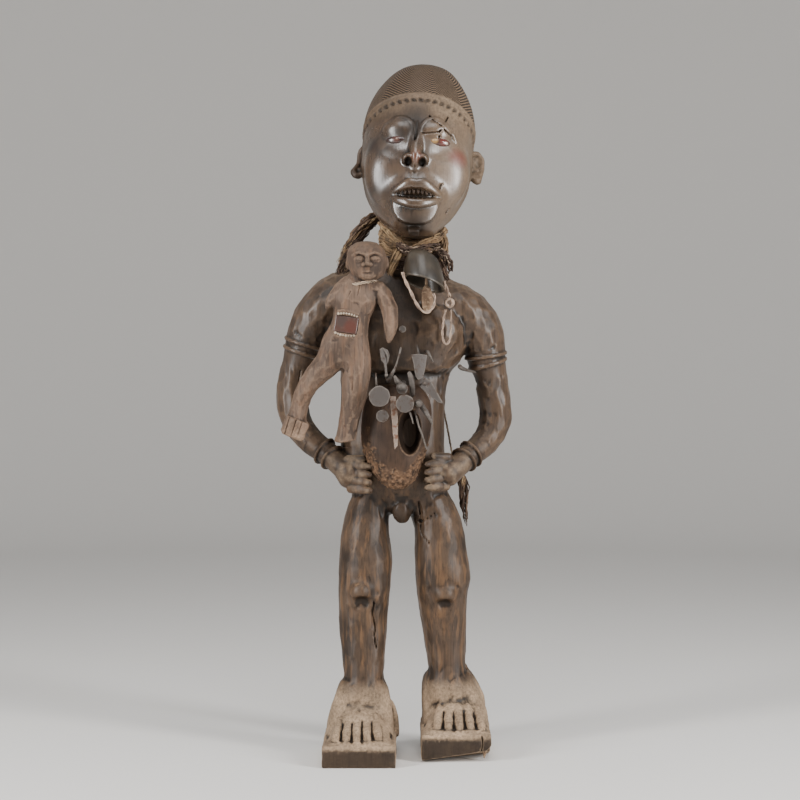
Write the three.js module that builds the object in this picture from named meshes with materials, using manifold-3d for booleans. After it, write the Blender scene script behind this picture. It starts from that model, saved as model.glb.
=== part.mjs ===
// A standing nail figure carved from one log: hands on its hips, a resin pack on the belly with
// iron nails and blades driven in, and a small figure, a bell and cords hung from its bound neck.
// Millimetres, +Z up. The figure faces -Y, so its right side is towards -X.
import * as THREE from "three";
import { mergeVertices } from "three/addons/utils/BufferGeometryUtils.js";
import Module from "manifold-3d";

const wasm = await Module();
wasm.setup();

// Driving dimensions. Rows of a column are [z, x, y, half width, depth in front, depth behind];
// rows of a limb are [x, y, z, half width, half depth].
const GAP = 0.35; // clearance between two separate pieces that touch
const HEAD = { x: 22, y: -10, z: 725, tiltBack: 10, lean: 3 };
const CAP = { edgeAtEars: 31, fall: 0.46, thick: 2.6, cordon: 2.2 };
const MOUTH = { z: -66.5, halfWidth: 27, halfOpen: 7, teeth: 6, toothLong: 4.5 };
const FACE_Y = -69; // how far the face stands in front of the head's axis
const EYE = { x: 26, z: -3, wide: 10, high: 4.2 };
const BLOCK_LEFT = { x0: 25.5, x1: 108, y0: -70, y1: 52, high: 33, worn: 18 };
const BLOCK_RIGHT = { x0: -91, x1: -5, y0: -103, y1: 22, high: 25.5, worn: 0 };
const BELL = { x: 30, y: -75.5, z: 561, radius: 26, high: 43, wall: 3.5, tipForward: 13, tipSide: 12 };
const WINDOW = { at: [-63.2, -86, 517], wide: 26, high: 19, deep: 8, lean: 9 }; // in the small figure's belly

const headRows = [
  [-112, 0, -34, 8, 9, 10],
  [-106, 0, -30, 23, 25, 20],
  [-95, 0, -22, 35, 41, 30],
  [-81, 0, -13, 46, 54, 40],
  [-66, 0, -8, 55, 62, 47],
  [-46, 0, -3, 63, 68, 58],
  [-18, 0, 0, 68, 71, 69],
  [14, 0, 2, 69, 72, 78],
  [45, 0, 6, 66, 70, 78],
  [70, 0, 9, 57.5, 61, 69],
  [92, 0, 11, 45, 49, 54],
  [106, 0, 12, 30, 34, 36],
  [113, 0, 12, 11, 13, 14],
];
const torsoRows = [
  [292, 3, 4, 46, 26, 36],
  [312, 0, 4, 57, 37, 50],
  [335, -4, 3, 62, 44, 54],
  [365, -9, 2, 63, 45, 47],
  [400, -9, 2, 63, 42, 41],
  [440, -8, 2, 64, 40, 41],
  [470, -4, 2, 68, 40, 43],
];
const chestRows = [
  [459, -2, 0, 52, 36, 36],
  [465, -2, 0, 65, 48, 43],
  [484, -1, 0, 79, 52, 47],
  [515, -1, 1, 91, 50, 49],
  [545, 0, 3, 88, 43, 47],
  [568, 2, 5, 68, 36, 41],
  [584, 5, 6, 49, 32, 36],
  [600, 9, 6, 38, 31, 34],
  [625, 14, 5, 34, 31, 34],
  [650, 18, 4, 33, 30, 36],
  [676, 20, 4, 33, 28, 38],
];
const armLeftRows = [
  [36, 4, 556, 24, 30],
  [68, 4, 545, 30, 35],
  [90, 5, 522, 30, 33],
  [102, 7, 498, 26, 29],
  [106, 9, 478, 23, 26],
  [111, 11, 460, 20, 23],
  [115, 13, 434, 19.5, 22],
  [117, 13, 410, 19.5, 21],
  [112, 8, 390, 18, 19],
  [99, -3, 373, 16, 17],
  [83, -15, 358, 15, 15],
  [72, -25, 348, 14, 14],
  [58, -34, 341, 15, 12],
];
const armRightRows = [
  [-36, 4, 562, 24, 30],
  [-72, 4, 555, 30, 35],
  [-96, 5, 534, 30, 33],
  [-111, 7, 512, 26, 29],
  [-118, 9, 493, 23, 26],
  [-124, 11, 474, 20, 23],
  [-131, 13, 447, 19.5, 22],
  [-133, 13, 420, 19.5, 21],
  [-127, 8, 398, 18, 19],
  [-107, -4, 378, 16, 17],
  [-88, -15, 361, 15, 15],
  [-75, -25, 350, 14, 14],
  [-61, -34, 342, 15, 12],
];
// Ridges round each arm: place counted in rows of the arm, height, and half width in rows.
const ARM_RIDGES = [
  [3.72, 3, 0.16],
  [4.28, 3, 0.16],
  [9.7, 3.2, 0.2],
  [10.4, 3.2, 0.2],
];
const legLeftRows = [
  [60, 60, 2, 24, 28, 30],
  [80, 59.5, 2, 28, 30, 32],
  [99, 57.3, 4, 23, 27, 29],
  [131, 55.4, 4, 25, 27, 33],
  [165, 53, 1, 28, 28, 36],
  [192, 51.3, -2, 30.5, 31, 32],
  [214, 52.3, -3, 33, 34, 33],
  [240, 50, -1, 32, 36, 36],
  [270, 47.8, 2, 30, 36, 42],
  [292, 41, 4, 30, 34, 46],
  [316, 32, 4, 27, 32, 46],
];
const legRightRows = [
  [52, -46, -20, 24, 28, 30],
  [78, -45.4, -22, 28, 30, 32],
  [97, -43.7, -20, 24.2, 27, 29],
  [144, -44.6, -16, 27.8, 27, 34],
  [170, -44.2, -15, 29.5, 28, 35],
  [192, -43.6, -15, 30.8, 31, 31],
  [212, -42.5, -13, 31.5, 33, 33],
  [236, -41.5, -8, 32, 36, 36],
  [270, -42, -1, 28.5, 36, 42],
  [292, -39, 3, 27, 34, 46],
  [316, -32, 4, 25, 32, 46],
];
const packRows = [
  [322, -3, -34, 9, 15, 6],
  [333, -4, -34, 22, 25, 6],
  [352, -6, -34, 33, 31, 6],
  [378, -6, -34, 40, 33, 6],
  [405, -4, -34, 42, 30, 6],
  [430, -3, -34, 38, 24, 6],
  [447, -2, -34, 24, 13, 6],
];
const smallRows = {
  torso: [
    [-66.7, -70, 480, 30, 16],
    [-65, -70, 492, 28, 17],
    [-60.5, -70, 511, 22.5, 17],
    [-57, -70, 530, 22, 16],
    [-53.2, -71, 549, 26, 16],
    [-48, -71, 562, 21, 13],
    [-43, -71, 572, 13.5, 11.5],
    [-41, -71, 584, 13, 12],
  ],
  head: [
    [569, -38, -78, 8, 8, 9],
    [573, -38, -75, 15, 15, 12],
    [580, -38.5, -73, 20.5, 20, 18],
    [594, -39, -72, 23.3, 22, 23],
    [606, -40, -72, 20.5, 20, 22],
    [614, -40, -71, 13, 13, 15],
    [617, -40, -71, 5, 5, 6],
  ],
  legRight: [
    [-76, -70, 487, 15, 15],
    [-84, -70, 474, 16, 15],
    [-99, -67, 458, 13.5, 13.5],
    [-110, -63, 444, 11.5, 12],
    [-118, -57, 426, 10.5, 11],
    [-124, -54, 398, 10.5, 10.5],
  ],
  legLeft: [
    [-53, -70, 488, 16, 15],
    [-51, -71, 470, 17, 15.5],
    [-54, -71, 435, 14.5, 14],
    [-58, -68, 415, 12.5, 12.5],
    [-62.5, -66, 392, 11.5, 11.5],
    [-64.5, -66, 380, 12.5, 12.5],
  ],
  armLeft: [
    [-38, -71, 560, 9, 9],
    [-26, -72, 559, 10, 9.5],
    [-17, -74, 547, 9.5, 9],
    [-12, -76, 532, 9.5, 9],
    [-11, -78, 513, 7.5, 7.5],
    [-13, -79, 498, 2.5, 3],
  ],
  armRight: [
    [-62, -71, 560, 9, 9],
    [-72, -72, 556, 8.5, 8.5],
    [-80, -73, 547, 6, 7],
    [-86, -74, 538, 2.2, 3],
  ],
};

const finish = (color, roughness, metalness = 0) =>
  new THREE.MeshStandardMaterial({ color, roughness, metalness });
const MATERIALS = {
  wood: finish(0x5a463a, 0.5),
  paleWood: finish(0x6b5a4e, 0.7),
  darkWood: finish(0x3a322d, 0.45),
  resin: finish(0x49301f, 0.6),
  iron: finish(0x55504c, 0.6, 0.7),
  rust: finish(0x6e4a2e, 0.85, 0.3),
  raffia: finish(0xa9835a, 0.95),
  cord: finish(0x6d5a45, 0.95),
  leather: finish(0x6f5d50, 0.75),
  glass: finish(0x8a4a32, 0.2),
};

const rad = THREE.MathUtils.degToRad;
const lerp = THREE.MathUtils.lerp;

// The row at place k, a number of rows that need not be whole, on a smooth curve through them all.
function rowAt(rows, k) {
  const last = rows.length - 1;
  const i = Math.min(Math.max(Math.floor(k), 0), last - 1);
  const t = k - i;
  const [before, a, b, after] = [i - 1, i, i + 1, i + 2].map((n) => rows[Math.min(Math.max(n, 0), last)]);
  return a.map((v, c) => {
    const slopeIn = (b[c] - before[c]) / 2;
    const slopeOut = (after[c] - v) / 2;
    const [t2, t3] = [t * t, t * t * t];
    const [fromA, fromB] = [2 * t3 - 3 * t2 + 1, 3 * t2 - 2 * t3];
    return fromA * v + fromB * b[c] + (t3 - 2 * t2 + t) * slopeIn + (t3 - t2) * slopeOut;
  });
}

const resample = (rows, rings) =>
  Array.from({ length: rings }, (_, i) => rowAt(rows, ((rows.length - 1) * i) / (rings - 1)));

// A closed skin over a stack of rings that each run the same way round.
function skin(rings, looped = false) {
  const n = rings[0].length;
  const points = rings.flat();
  const index = [];
  const stack = looped ? rings.length : rings.length - 1;
  for (let i = 0; i < stack; i++)
    for (let j = 0; j < n; j++) {
      const [a, b] = [i * n + j, i * n + ((j + 1) % n)];
      const up = ((i + 1) % rings.length) * n;
      const [c, d] = [up + ((j + 1) % n), up + j];
      index.push(a, b, c, a, c, d);
    }
  if (!looped)
    [0, rings.length - 1].forEach((end) => {
      const middle = rings[end].reduce((s, p) => s.add(p), new THREE.Vector3()).divideScalar(n);
      points.push(middle);
      for (let j = 0; j < n; j++) {
        const [a, b] = [end * n + j, end * n + ((j + 1) % n)];
        index.push(points.length - 1, ...(end ? [a, b] : [b, a]));
      }
    });
  return new THREE.BufferGeometry().setFromPoints(points).setIndex(index);
}

// Upright form with level rings; power over 2 squares its corners.
function column(rows, { sides = 20, rings = 2 * rows.length, power = 2, grow = 0 } = {}) {
  const bent = (v) => Math.sign(v) * Math.abs(v) ** (2 / power);
  const stack = resample(rows, rings).map(([z, x, y, wide, fore, aft], i, all) => {
    const end = i === 0 ? -grow : i === all.length - 1 ? grow : 0;
    return Array.from({ length: sides }, (_, j) => {
      const t = (2 * Math.PI * (j + 0.5)) / sides;
      const deep = (Math.sin(t) < 0 ? fore : aft) + grow;
      return new THREE.Vector3(x + (wide + grow) * bent(Math.cos(t)), y + deep * bent(Math.sin(t)), z + end);
    });
  });
  return skin(stack);
}

// Tapered form along a bending path; its half widths lie across the reference direction.
function limb(rows, { sides = 12, rings = 2 * rows.length, grow = 0, face = [0, -1, 0] } = {}) {
  const picked = resample(rows, rings);
  const reference = new THREE.Vector3(...face);
  const stack = picked.map(([x, y, z, wide, deep], i) => {
    const [a, b] = [picked[Math.max(i - 1, 0)], picked[Math.min(i + 1, rings - 1)]];
    const along = new THREE.Vector3(b[0] - a[0], b[1] - a[1], b[2] - a[2]).normalize();
    const side = reference.clone().cross(along).normalize();
    const front = along.clone().cross(side);
    const end = i === 0 ? -grow : i === rings - 1 ? grow : 0;
    const centre = new THREE.Vector3(x, y, z).addScaledVector(along, end);
    return Array.from({ length: sides }, (_, j) => {
      const t = (2 * Math.PI * (j + 0.5)) / sides;
      return centre
        .clone()
        .addScaledVector(side, (wide + grow) * Math.cos(t))
        .addScaledVector(front, (deep + grow) * Math.sin(t));
    });
  });
  return skin(stack);
}

// A tapering round rod between two points.
const rod = (from, to, thick, thin = thick, options = {}) =>
  limb([[...from, thick, thick], [...to, thin, thin]], { sides: 5, rings: 2, ...options });

const ringPoints = (count, at) =>
  Array.from({ length: count }, (_, i) => new THREE.Vector3(...at((2 * Math.PI * i) / count)));

// A closed ring of cord through points; radial and level are its half thicknesses.
function hoop(points, radial, level, sides = 8) {
  const n = points.length;
  const middle = points.reduce((s, p) => s.add(p), new THREE.Vector3()).divideScalar(n);
  const stack = points.map((p, i) => {
    const along = points[(i + 1) % n].clone().sub(points[(i + n - 1) % n]).normalize();
    const out = p.clone().sub(middle);
    out.addScaledVector(along, -out.dot(along)).normalize();
    const up = along.clone().cross(out);
    return Array.from({ length: sides }, (_, j) => {
      const t = (2 * Math.PI * j) / sides;
      return p
        .clone()
        .addScaledVector(out, radial * Math.cos(t))
        .addScaledVector(up, level * Math.sin(t));
    });
  });
  return skin(stack, true);
}

const place = (geometry, [x, y, z], [ax, ay, az] = [0, 0, 0]) =>
  geometry.applyMatrix4(
    new THREE.Matrix4()
      .makeRotationFromEuler(new THREE.Euler(rad(ax), rad(ay), rad(az)))
      .setPosition(x, y, z),
  );

const egg = (at, [rx, ry, rz], { turn, detail = 10, grow = 0 } = {}) => {
  const ball = new THREE.SphereGeometry(1, detail, Math.round(detail * 0.55));
  return place(ball.scale(rx + grow, ry + grow, rz + grow), at, turn);
};

const bar = (at, [w, d, h], turn) => place(new THREE.BoxGeometry(w, d, h), at, turn);

// A flat piece cut to an outline of [x, z] points, its thickness centred on y = 0.
function slab(outline, thick, at, turn) {
  const shape = new THREE.Shape(outline.map(([x, z]) => new THREE.Vector2(x, z)));
  const geometry = new THREE.ExtrudeGeometry(shape, { depth: thick, bevelEnabled: false });
  return place(geometry.translate(0, 0, -thick / 2).rotateX(Math.PI / 2), at, turn);
}

function solid(geometry) {
  const bare = geometry.index ? geometry.toNonIndexed() : geometry.clone();
  const merged = mergeVertices(
    new THREE.BufferGeometry().setAttribute("position", bare.getAttribute("position")),
    1e-4,
  );
  return new wasm.Manifold(
    new wasm.Mesh({
      numProp: 3,
      vertProperties: merged.attributes.position.array,
      triVerts: new Uint32Array(merged.index.array),
    }),
  );
}

const join = (...geometries) => geometries.flat().map(solid).reduce((a, b) => a.add(b));

const headFrame = new THREE.Matrix4()
  .makeRotationFromEuler(new THREE.Euler(rad(-HEAD.tiltBack), rad(HEAD.lean), 0))
  .setPosition(HEAD.x, HEAD.y, HEAD.z);
const onHead = (geometry) => geometry.applyMatrix4(headFrame);
const eachSide = (make) => [-1, 1].flatMap(make);

// A point of the head's surface at an angle round it, on the sloping plane of the cap's edge.
function capEdgePoint(angle, proud) {
  let y = 0;
  let point;
  for (let step = 0; step < 8; step++) {
    const z = CAP.edgeAtEars - CAP.fall * y;
    const k = headRows.findIndex((row) => row[0] > z) - 1;
    const share = (z - headRows[k][0]) / (headRows[k + 1][0] - headRows[k][0]);
    const [, x, cy, wide, fore, aft] = rowAt(headRows, k + share);
    const deep = Math.sin(angle) < 0 ? fore : aft;
    point = new THREE.Vector3(x + (wide + proud) * Math.cos(angle), cy + (deep + proud) * Math.sin(angle), z);
    y = point.y;
  }
  return point;
}

// Everything above a plane that slopes down towards the back of the head.
function aboveCapEdge() {
  const size = 400;
  const slope = -THREE.MathUtils.radToDeg(Math.atan(CAP.fall));
  const block = new THREE.BoxGeometry(size, size, size).translate(0, 0, size / 2);
  return place(block, [0, 0, CAP.edgeAtEars], [slope, 0, 0]);
}

// Raised cap that ends in a cordon along the hairline.
function cap() {
  const edge = ringPoints(20, (t) => capEdgePoint(t, CAP.thick - 0.6).toArray());
  const shell = solid(onHead(column(headRows, { sides: 20, rings: headRows.length, grow: CAP.thick })));
  const dome = shell.intersect(solid(onHead(aboveCapEdge())));
  return dome.add(solid(onHead(hoop(edge, CAP.cordon, CAP.cordon, 5))));
}

const earOutline = [[-8, 12], [8, 12], [13, 0], [13, -20], [6, -30], [-6, -18]];

function ear(side) {
  const outline = earOutline.map(([x, z]) => [x * side, z]);
  const cut = side < 0 ? outline.reverse() : outline;
  return slab(cut, 9, [69 * side, 6, -2], [0, 0, 20 * side]);
}

const lipRows = (zCorner, zSide, zMiddle) => [
  [-30, -58, zCorner, 3, 2],
  [-17, -70, zSide, 6, 3.8],
  [-6, -74, zMiddle, 7, 4.6],
  [6, -74, zMiddle, 7, 4.6],
  [17, -70, zSide, 6, 3.8],
  [28, -58, zCorner, 3, 2],
];

// Brows, eyelids, nose, muzzle, lips, chin plate and the two blocks of the beard.
function faceForms() {
  const along = { sides: 5, face: [0, 0, 1] };
  const brow = (s) => [
    [5 * s, -71, 9, 2.4, 3],
    [13 * s, -70, 21, 2.6, 3.5],
    [29 * s, -65, 25, 2.6, 3.5],
    [47 * s, -50, 8, 2, 2.5],
  ];
  const nose = [
    [0, -67, 16, 4, 4],
    [0, -73, -5, 5.5, 6],
    [0, -80, -23, 8, 8],
    [0, -76, -36, 10, 9],
    [0, -70, -45, 6, 5],
  ];
  return [
    ...eachSide((s) => [
      limb(brow(s), { ...along, rings: 5 }),
      egg([EYE.x * s, FACE_Y + 7, EYE.z], [15, 8.5, 10], { turn: [0, 0, 18 * s], detail: 8 }),
      egg([10 * s, -75, -33], [7.6, 9, 8], { detail: 8 }),
      bar([3.6 * s, -57, -103], [6.2, 9, 11], [-22, 0, 0]),
    ]),
    limb(nose, { sides: 8, rings: nose.length }),
    egg([0, -55, -66], [33, 18, 26], { detail: 9 }),
    egg([0, -57, -85], [27, 14, 19], { turn: [8, 0, 0], detail: 10 }),
    limb(lipRows(-67, -60, -55.5), { ...along, rings: 7 }),
    limb(lipRows(-68, -75, -79), { ...along, rings: 7 }),
  ];
}

function mouthAndNostrils() {
  return [
    egg([0, -72, MOUTH.z - 0.5], [MOUTH.halfWidth - 3, 13, MOUTH.halfOpen]),
    ...eachSide((s) => [egg([8.6 * s, -83, -38], [4.6, 8, 5], { turn: [-20, 0, 0], detail: 6 })]),
  ];
}

// A row of pointed teeth, cut from one flat strip across the open mouth.
function teethRow(up) {
  const half = MOUTH.halfWidth - 4;
  const pitch = (2 * half) / MOUTH.teeth;
  const points = Array.from({ length: MOUTH.teeth }, (_, i) => [
    [-half + pitch * i, MOUTH.toothLong],
    [-half + pitch * (i + 0.5), 0],
  ]).flat();
  const gum = 2 * MOUTH.halfOpen;
  const outline = [[-half, gum], ...points, [half, MOUTH.toothLong], [half, gum]];
  const turned = up > 0 ? outline : outline.map(([x, z]) => [x, -z]).reverse();
  return slab(turned, 5, [0, -66, MOUTH.z + up * 1.2]);
}

// The rows of a limb with rings set between them and round ridges raised on it.
function ridged(rows, rings, ridges) {
  const even = Array.from({ length: rings }, (_, i) => ((rows.length - 1) * i) / (rings - 1));
  const plain = even.filter((k) => ridges.every(([at, , half]) => Math.abs(k - at) > 1.3 * half));
  const raised = ridges.flatMap(([at, proud, half]) => [[at - half, 0], [at, proud], [at + half, 0]]);
  return [...plain.map((k) => [k, 0]), ...raised]
    .sort((a, b) => a[0] - b[0])
    .map(([k, proud]) => {
      const [x, y, z, wide, deep] = rowAt(rows, k);
      return [x, y, z, wide + proud, deep + proud];
    });
}

// A hand laid flat on the belly: palm, thumb and four level fingers that point inwards.
function hand(side, palmX, tipX, topZ) {
  const [pitch, level] = [10.6, { sides: 5, face: [0, 0, 1] }];
  const fingers = Array.from({ length: 4 }, (_, i) => {
    const z = topZ - pitch * i;
    const knuckle = [palmX * side, -35, z, 5, 6];
    const middle = [lerp(palmX, tipX, 0.6) * side, -45, z - 1, 5.4, 6];
    return limb([knuckle, middle, [tipX * side, -50, z - 2, 4, 4.5]], { ...level, rings: 3 });
  });
  const thumb = rod([palmX * side, -36, topZ + 6], [(tipX + 8) * side, -45, topZ + 8], 5.5, 4);
  return [egg([(palmX + 2) * side, -31, topZ - 14], [15, 13, 21], { detail: 7 }), thumb, ...fingers];
}

// Foot on its block: sections from the heel forward, whose tops part into five toes, and the sole.
function foot(block, ankle, clear) {
  const middle = (block.x0 + block.x1) / 2;
  const halfWide = (block.x1 - block.x0) / 2 - 3;
  const top = block.high;
  // Distance from the toes' end, half width, height of the instep and depth of the toe grooves.
  const sections = [
    [118, 17, 12, 0], [104, 24, 34, 0], [84, 27, 48, 0], [62, 29, 46, 0],
    [46, 32, 34, 3], [28, 36, 18, 6], [12, halfWide - 3, 9, 6], [7, halfWide - 3, 3, 2],
  ];
  const rings = sections.map(([back, wide, high, groove], i) => {
    const x = lerp(ankle, middle, Math.min(back < 62 ? 1 : (118 - back) / 56, 1));
    const square = 2 + i / 2;
    const crest = Array.from({ length: 11 }, (_, j) => {
      const u = 1 - j / 5;
      const dip = j % 2 === 0 && j > 0 && j < 10 ? groove : 0;
      const z = top - 2 + (high + clear) * (1 - Math.abs(u) ** square) ** 0.6 - dip;
      return new THREE.Vector3(x + (wide + clear) * u, block.y0 + back, z);
    });
    return [...crest, new THREE.Vector3(x, block.y0 + back, top - 8)];
  });
  const arch = limb(
    [
      [ankle + 20, block.y0 + 100, top + 33, 6, 7],
      [ankle + 36, block.y0 + 108, top + 27, 4.5, 6],
      [ankle + 39, block.y0 + 112, top - 4, 4, 6],
    ],
    { sides: 5, rings: 4, grow: clear },
  );
  const size = [block.x1 - block.x0 + 2 * clear, block.y1 - block.y0 + 2 * clear, top + clear];
  const sole = bar([middle, (block.y0 + block.y1) / 2, size[2] / 2], size);
  return [skin(rings), sole, arch];
}

// The figure before the irons are driven in. With clear above 0 it is the room that it takes up.
function carving(clear) {
  const leg = { sides: 12, rings: 10, power: 2.2, grow: clear };
  const kneecap = (at) => egg(at, [13, 9, 8], { turn: [-12, 0, 0], detail: 7, grow: clear });
  const masses = [
    onHead(column(headRows, { sides: 20, rings: headRows.length, grow: clear })),
    column(torsoRows, { sides: 16, rings: 5, power: 2.3, grow: clear }),
    column(chestRows, { sides: 18, rings: 9, power: 2.2, grow: clear }),
    ...[armLeftRows, armRightRows].map((rows) => {
      const stack = ridged(rows, 12, ARM_RIDGES);
      return limb(stack, { sides: 9, rings: stack.length, grow: clear });
    }),
    column(legLeftRows, leg),
    column(legRightRows, leg),
    kneecap([52, -34, 204]),
    kneecap([-53, -45, 206]),
    egg([2, -20, 297], [12, 15, 17], { detail: 7 }),
    ...hand(1, 58, 32, 357),
    ...hand(-1, 62, 37, 353),
    ...foot(BLOCK_LEFT, 59, clear),
    ...foot(BLOCK_RIGHT, -45, clear),
    ...eachSide((s) => [onHead(ear(s))]),
  ];
  const body = join(masses);
  if (clear) return body;
  // The left block's underside is worn away at the front, more on the outer side.
  const { x1, y0, worn } = BLOCK_LEFT;
  const wear = bar([x1, y0, -100], [260, 72, 200 + worn], [-14, -8, 0]);
  const socket = (s) =>
    egg([EYE.x * s, FACE_Y - 6, EYE.z + 3], [21, 10, 14], { turn: [0, 0, 16 * s], detail: 8 });
  return body
    .subtract(join(eachSide((s) => [onHead(socket(s))])))
    .add(cap())
    .add(join(faceForms().map(onHead)))
    .subtract(join(mouthAndNostrils().map(onHead)))
    .add(join([1, -1].map((up) => onHead(teethRow(up)))))
    .subtract(solid(wear));
}

// Each piece below is made by a function of grow: 0 gives the piece, more gives the room it needs.
const eye = (s) => (grow) => {
  const at = [EYE.x * s, FACE_Y - 1, EYE.z];
  return solid(onHead(egg(at, [EYE.wide, 3, EYE.high], { turn: [0, 0, 18 * s], grow })));
};

const UP = [0, 0, 1];

// A nail with a flat, slightly many-sided head on a shank driven straight in.
const headedNail = ([x, y, z], radius, thick, sides, deep = 62) => (grow) => {
  const head = new THREE.CylinderGeometry(radius * 0.93 + grow, radius + grow, thick + 2 * grow, sides);
  const [thick0, thick1] = [radius * 0.28 + grow, radius * 0.2 + grow];
  const shank = rod([x, y, z], [x * 0.8, y + deep, z - 2], thick0, thick1, { face: UP });
  return join(place(head, [x, y, z], [4, 0, 3]), shank);
};

const ballHeadedNail = ([x, y, z], radius, deep) => (grow) =>
  join(
    egg([x, y, z], [radius, radius, radius], { detail: 8, grow }),
    rod([x, y, z], [x - 3, y + deep, z + 2], 1.8 + grow, 1.5 + grow, { face: UP }),
  );

// A bent spike: rows as a limb's, the last one inside the wood.
const spike = (...rows) => (grow) =>
  join(limb(rows, { sides: 5, rings: rows.length, grow, face: [1, 0, 0] }));

// A flat blade of [x, z] points about its place, with a tang driven in behind it.
const blade = ({ outline, thick, at, turn, tang }) => (grow) => {
  const grown = outline.map(([x, z]) => {
    const far = Math.hypot(x, z);
    return [x + (1.6 * grow * x) / far, z + (1.6 * grow * z) / far];
  });
  const plate = slab(grown, thick + 2 * grow, at, turn);
  return join(plate, rod(tang[0], tang[1], 2.2 + grow, 1.6 + grow, { face: UP }));
};

const irons = {
  large_round_head_nail: headedNail([-24, -101, 433], 12.3, 3.2, 11),
  middle_round_head_nail: headedNail([5.8, -99, 424.4], 10.6, 3.2, 10),
  small_round_head_nail: headedNail([-20.6, -88, 410], 7.4, 3, 9, 50),
  domed_nail: headedNail([2.6, -84, 442], 6.6, 4.5, 10, 46),
  chest_nail: headedNail([3, -58, 513], 4.2, 2.4, 9, 30),
  ball_head_nail: ballHeadedNail([21.8, -93, 424.6], 4.6, 53),
  horn_shaped_spike: spike(
    [-6, -86, 456, 1.6, 1.6],
    [-3.5, -84, 451, 3.2, 3],
    [1, -76, 447, 3.6, 3.4],
    [4, -60, 449, 3, 3],
    [4, -32, 450, 2, 2],
  ),
  thick_peg: spike(
    [11, -84, 460, 2.2, 2.2],
    [12.5, -84, 455, 3.2, 3.2],
    [14.5, -80, 444, 3.2, 3.2],
    [14.5, -66, 436, 3, 3],
    [14, -30, 434, 2.4, 2.4],
  ),
  slender_spike: spike(
    [1, -80, 489.5, 1.3, 1.3],
    [-1.8, -80, 479, 1, 1],
    [-5.8, -78, 466.6, 1.3, 1.3],
    [-11, -74, 457, 2.6, 2.4],
    [-14, -60, 452, 2.6, 2.6],
    [-14, -30, 451, 1.8, 1.8],
  ),
  thin_spike: spike(
    [-28.5, -78, 460, 0.8, 0.8],
    [-28, -76, 450, 1.2, 1.2],
    [-27, -64, 443, 1.4, 1.4],
    [-25, -30, 441, 1.2, 1.2],
  ),
  curved_wire: spike(
    [31.3, -72, 371, 0.9, 0.9],
    [26.6, -78, 386, 1.1, 1.1],
    [21.9, -82, 399, 1.2, 1.2],
    [18.4, -76, 413, 1.3, 1.3],
    [18, -32, 416, 1.2, 1.2],
  ),
  thin_nail: spike(
    [15.5, -84, 401, 0.7, 0.7],
    [13, -84, 410, 1.1, 1.1],
    [11.5, -74, 414, 1.2, 1.2],
    [11, -32, 414, 1.1, 1.1],
  ),
  iron_claw: spike(
    [38, -86, 400, 0.8, 1],
    [35, -88, 407, 3, 2.2],
    [30, -86, 415, 3.8, 3],
    [25.5, -76, 422, 3.2, 3],
    [25, -30, 426, 2, 2],
  ),
  hooked_tack: spike(
    [39, -60, 474, 0.8, 0.8],
    [36, -64, 480, 1.6, 1.4],
    [33, -60, 486, 1.8, 1.6],
    [31, -40, 487, 1.4, 1.4],
  ),
  armpit_nail: spike(
    [72, -26, 469, 3, 2.4],
    [75, -23, 467, 2.6, 2.4],
    [84, -12, 464, 1.6, 1.6],
    [98, 2, 462, 1.4, 1.4],
  ),
  folded_blade: blade({
    outline: [
      [-6, 8],
      [-2, 10],
      [4.5, 7],
      [7, 1],
      [5, -7.5],
      [3, -10],
      [4, -25],
      [1.6, -25],
      [0, -10],
      [-4, -5],
    ],
    thick: 2,
    at: [-18.5, -80, 480.5],
    turn: [0, 0, 24],
    tang: [[-16, -80, 458], [-16, -32, 455]],
  }),
  flared_blade: blade({
    outline: [[-10.5, 14.5], [-2, 15.5], [9, 14.5], [6.5, -1], [4, -12], [-2, -15.5], [-5.5, -12], [-8, 5]],
    thick: 1.8,
    at: [23.5, -80, 467.5],
    turn: [-6, 0, 14],
    tang: [[23, -80, 456], [22, -32, 455]],
  }),
  pointed_blade: blade({
    outline: [[-10, 14.5], [-14.5, 3.5], [6, -15], [13, -17], [6, -4], [-2, 10]],
    thick: 1.8,
    at: [38.2, -82, 441],
    turn: [0, 0, -10],
    tang: [[29, -81, 448], [27, -32, 447]],
  }),
  rusty_blade: blade({
    outline: [[-4, 31], [3, 31.5], [5, 8], [5.4, -27], [1.8, -31.5], [-0.6, -10]],
    thick: 2.6,
    at: [-8, -88, 402],
    turn: [-9, 0, 12],
    tang: [[-8.5, -84, 428], [-8, -32, 426]],
  }),
};

// Resin pack on the belly, open in front where its filling has sunk.
function pack(grow) {
  const mass = solid(column(packRows, { sides: 12, rings: 8, power: 2.4, grow }));
  return grow ? mass : mass.subtract(join(egg([12, -70, 393], [15, 19, 29])));
}

// Heavy-lidded eyes, nose and mouth of the small figure.
function smallFace(grow) {
  const [x, y] = [-38.5, -72];
  return [
    limb([[x, y - 20, 601, 2.2, 2], [x + 1, y - 24, 588, 4, 3.4]], { sides: 5, rings: 2, grow }),
    ...eachSide((s) => [
      egg([x + 9 * s, y - 18, 595], [6.5, 3, 3.5], { turn: [0, 0, 12 * s], detail: 6, grow }),
    ]),
    egg([x, y - 17, 576.5], [8, 5, 4], { detail: 6, grow }),
  ];
}

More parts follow.
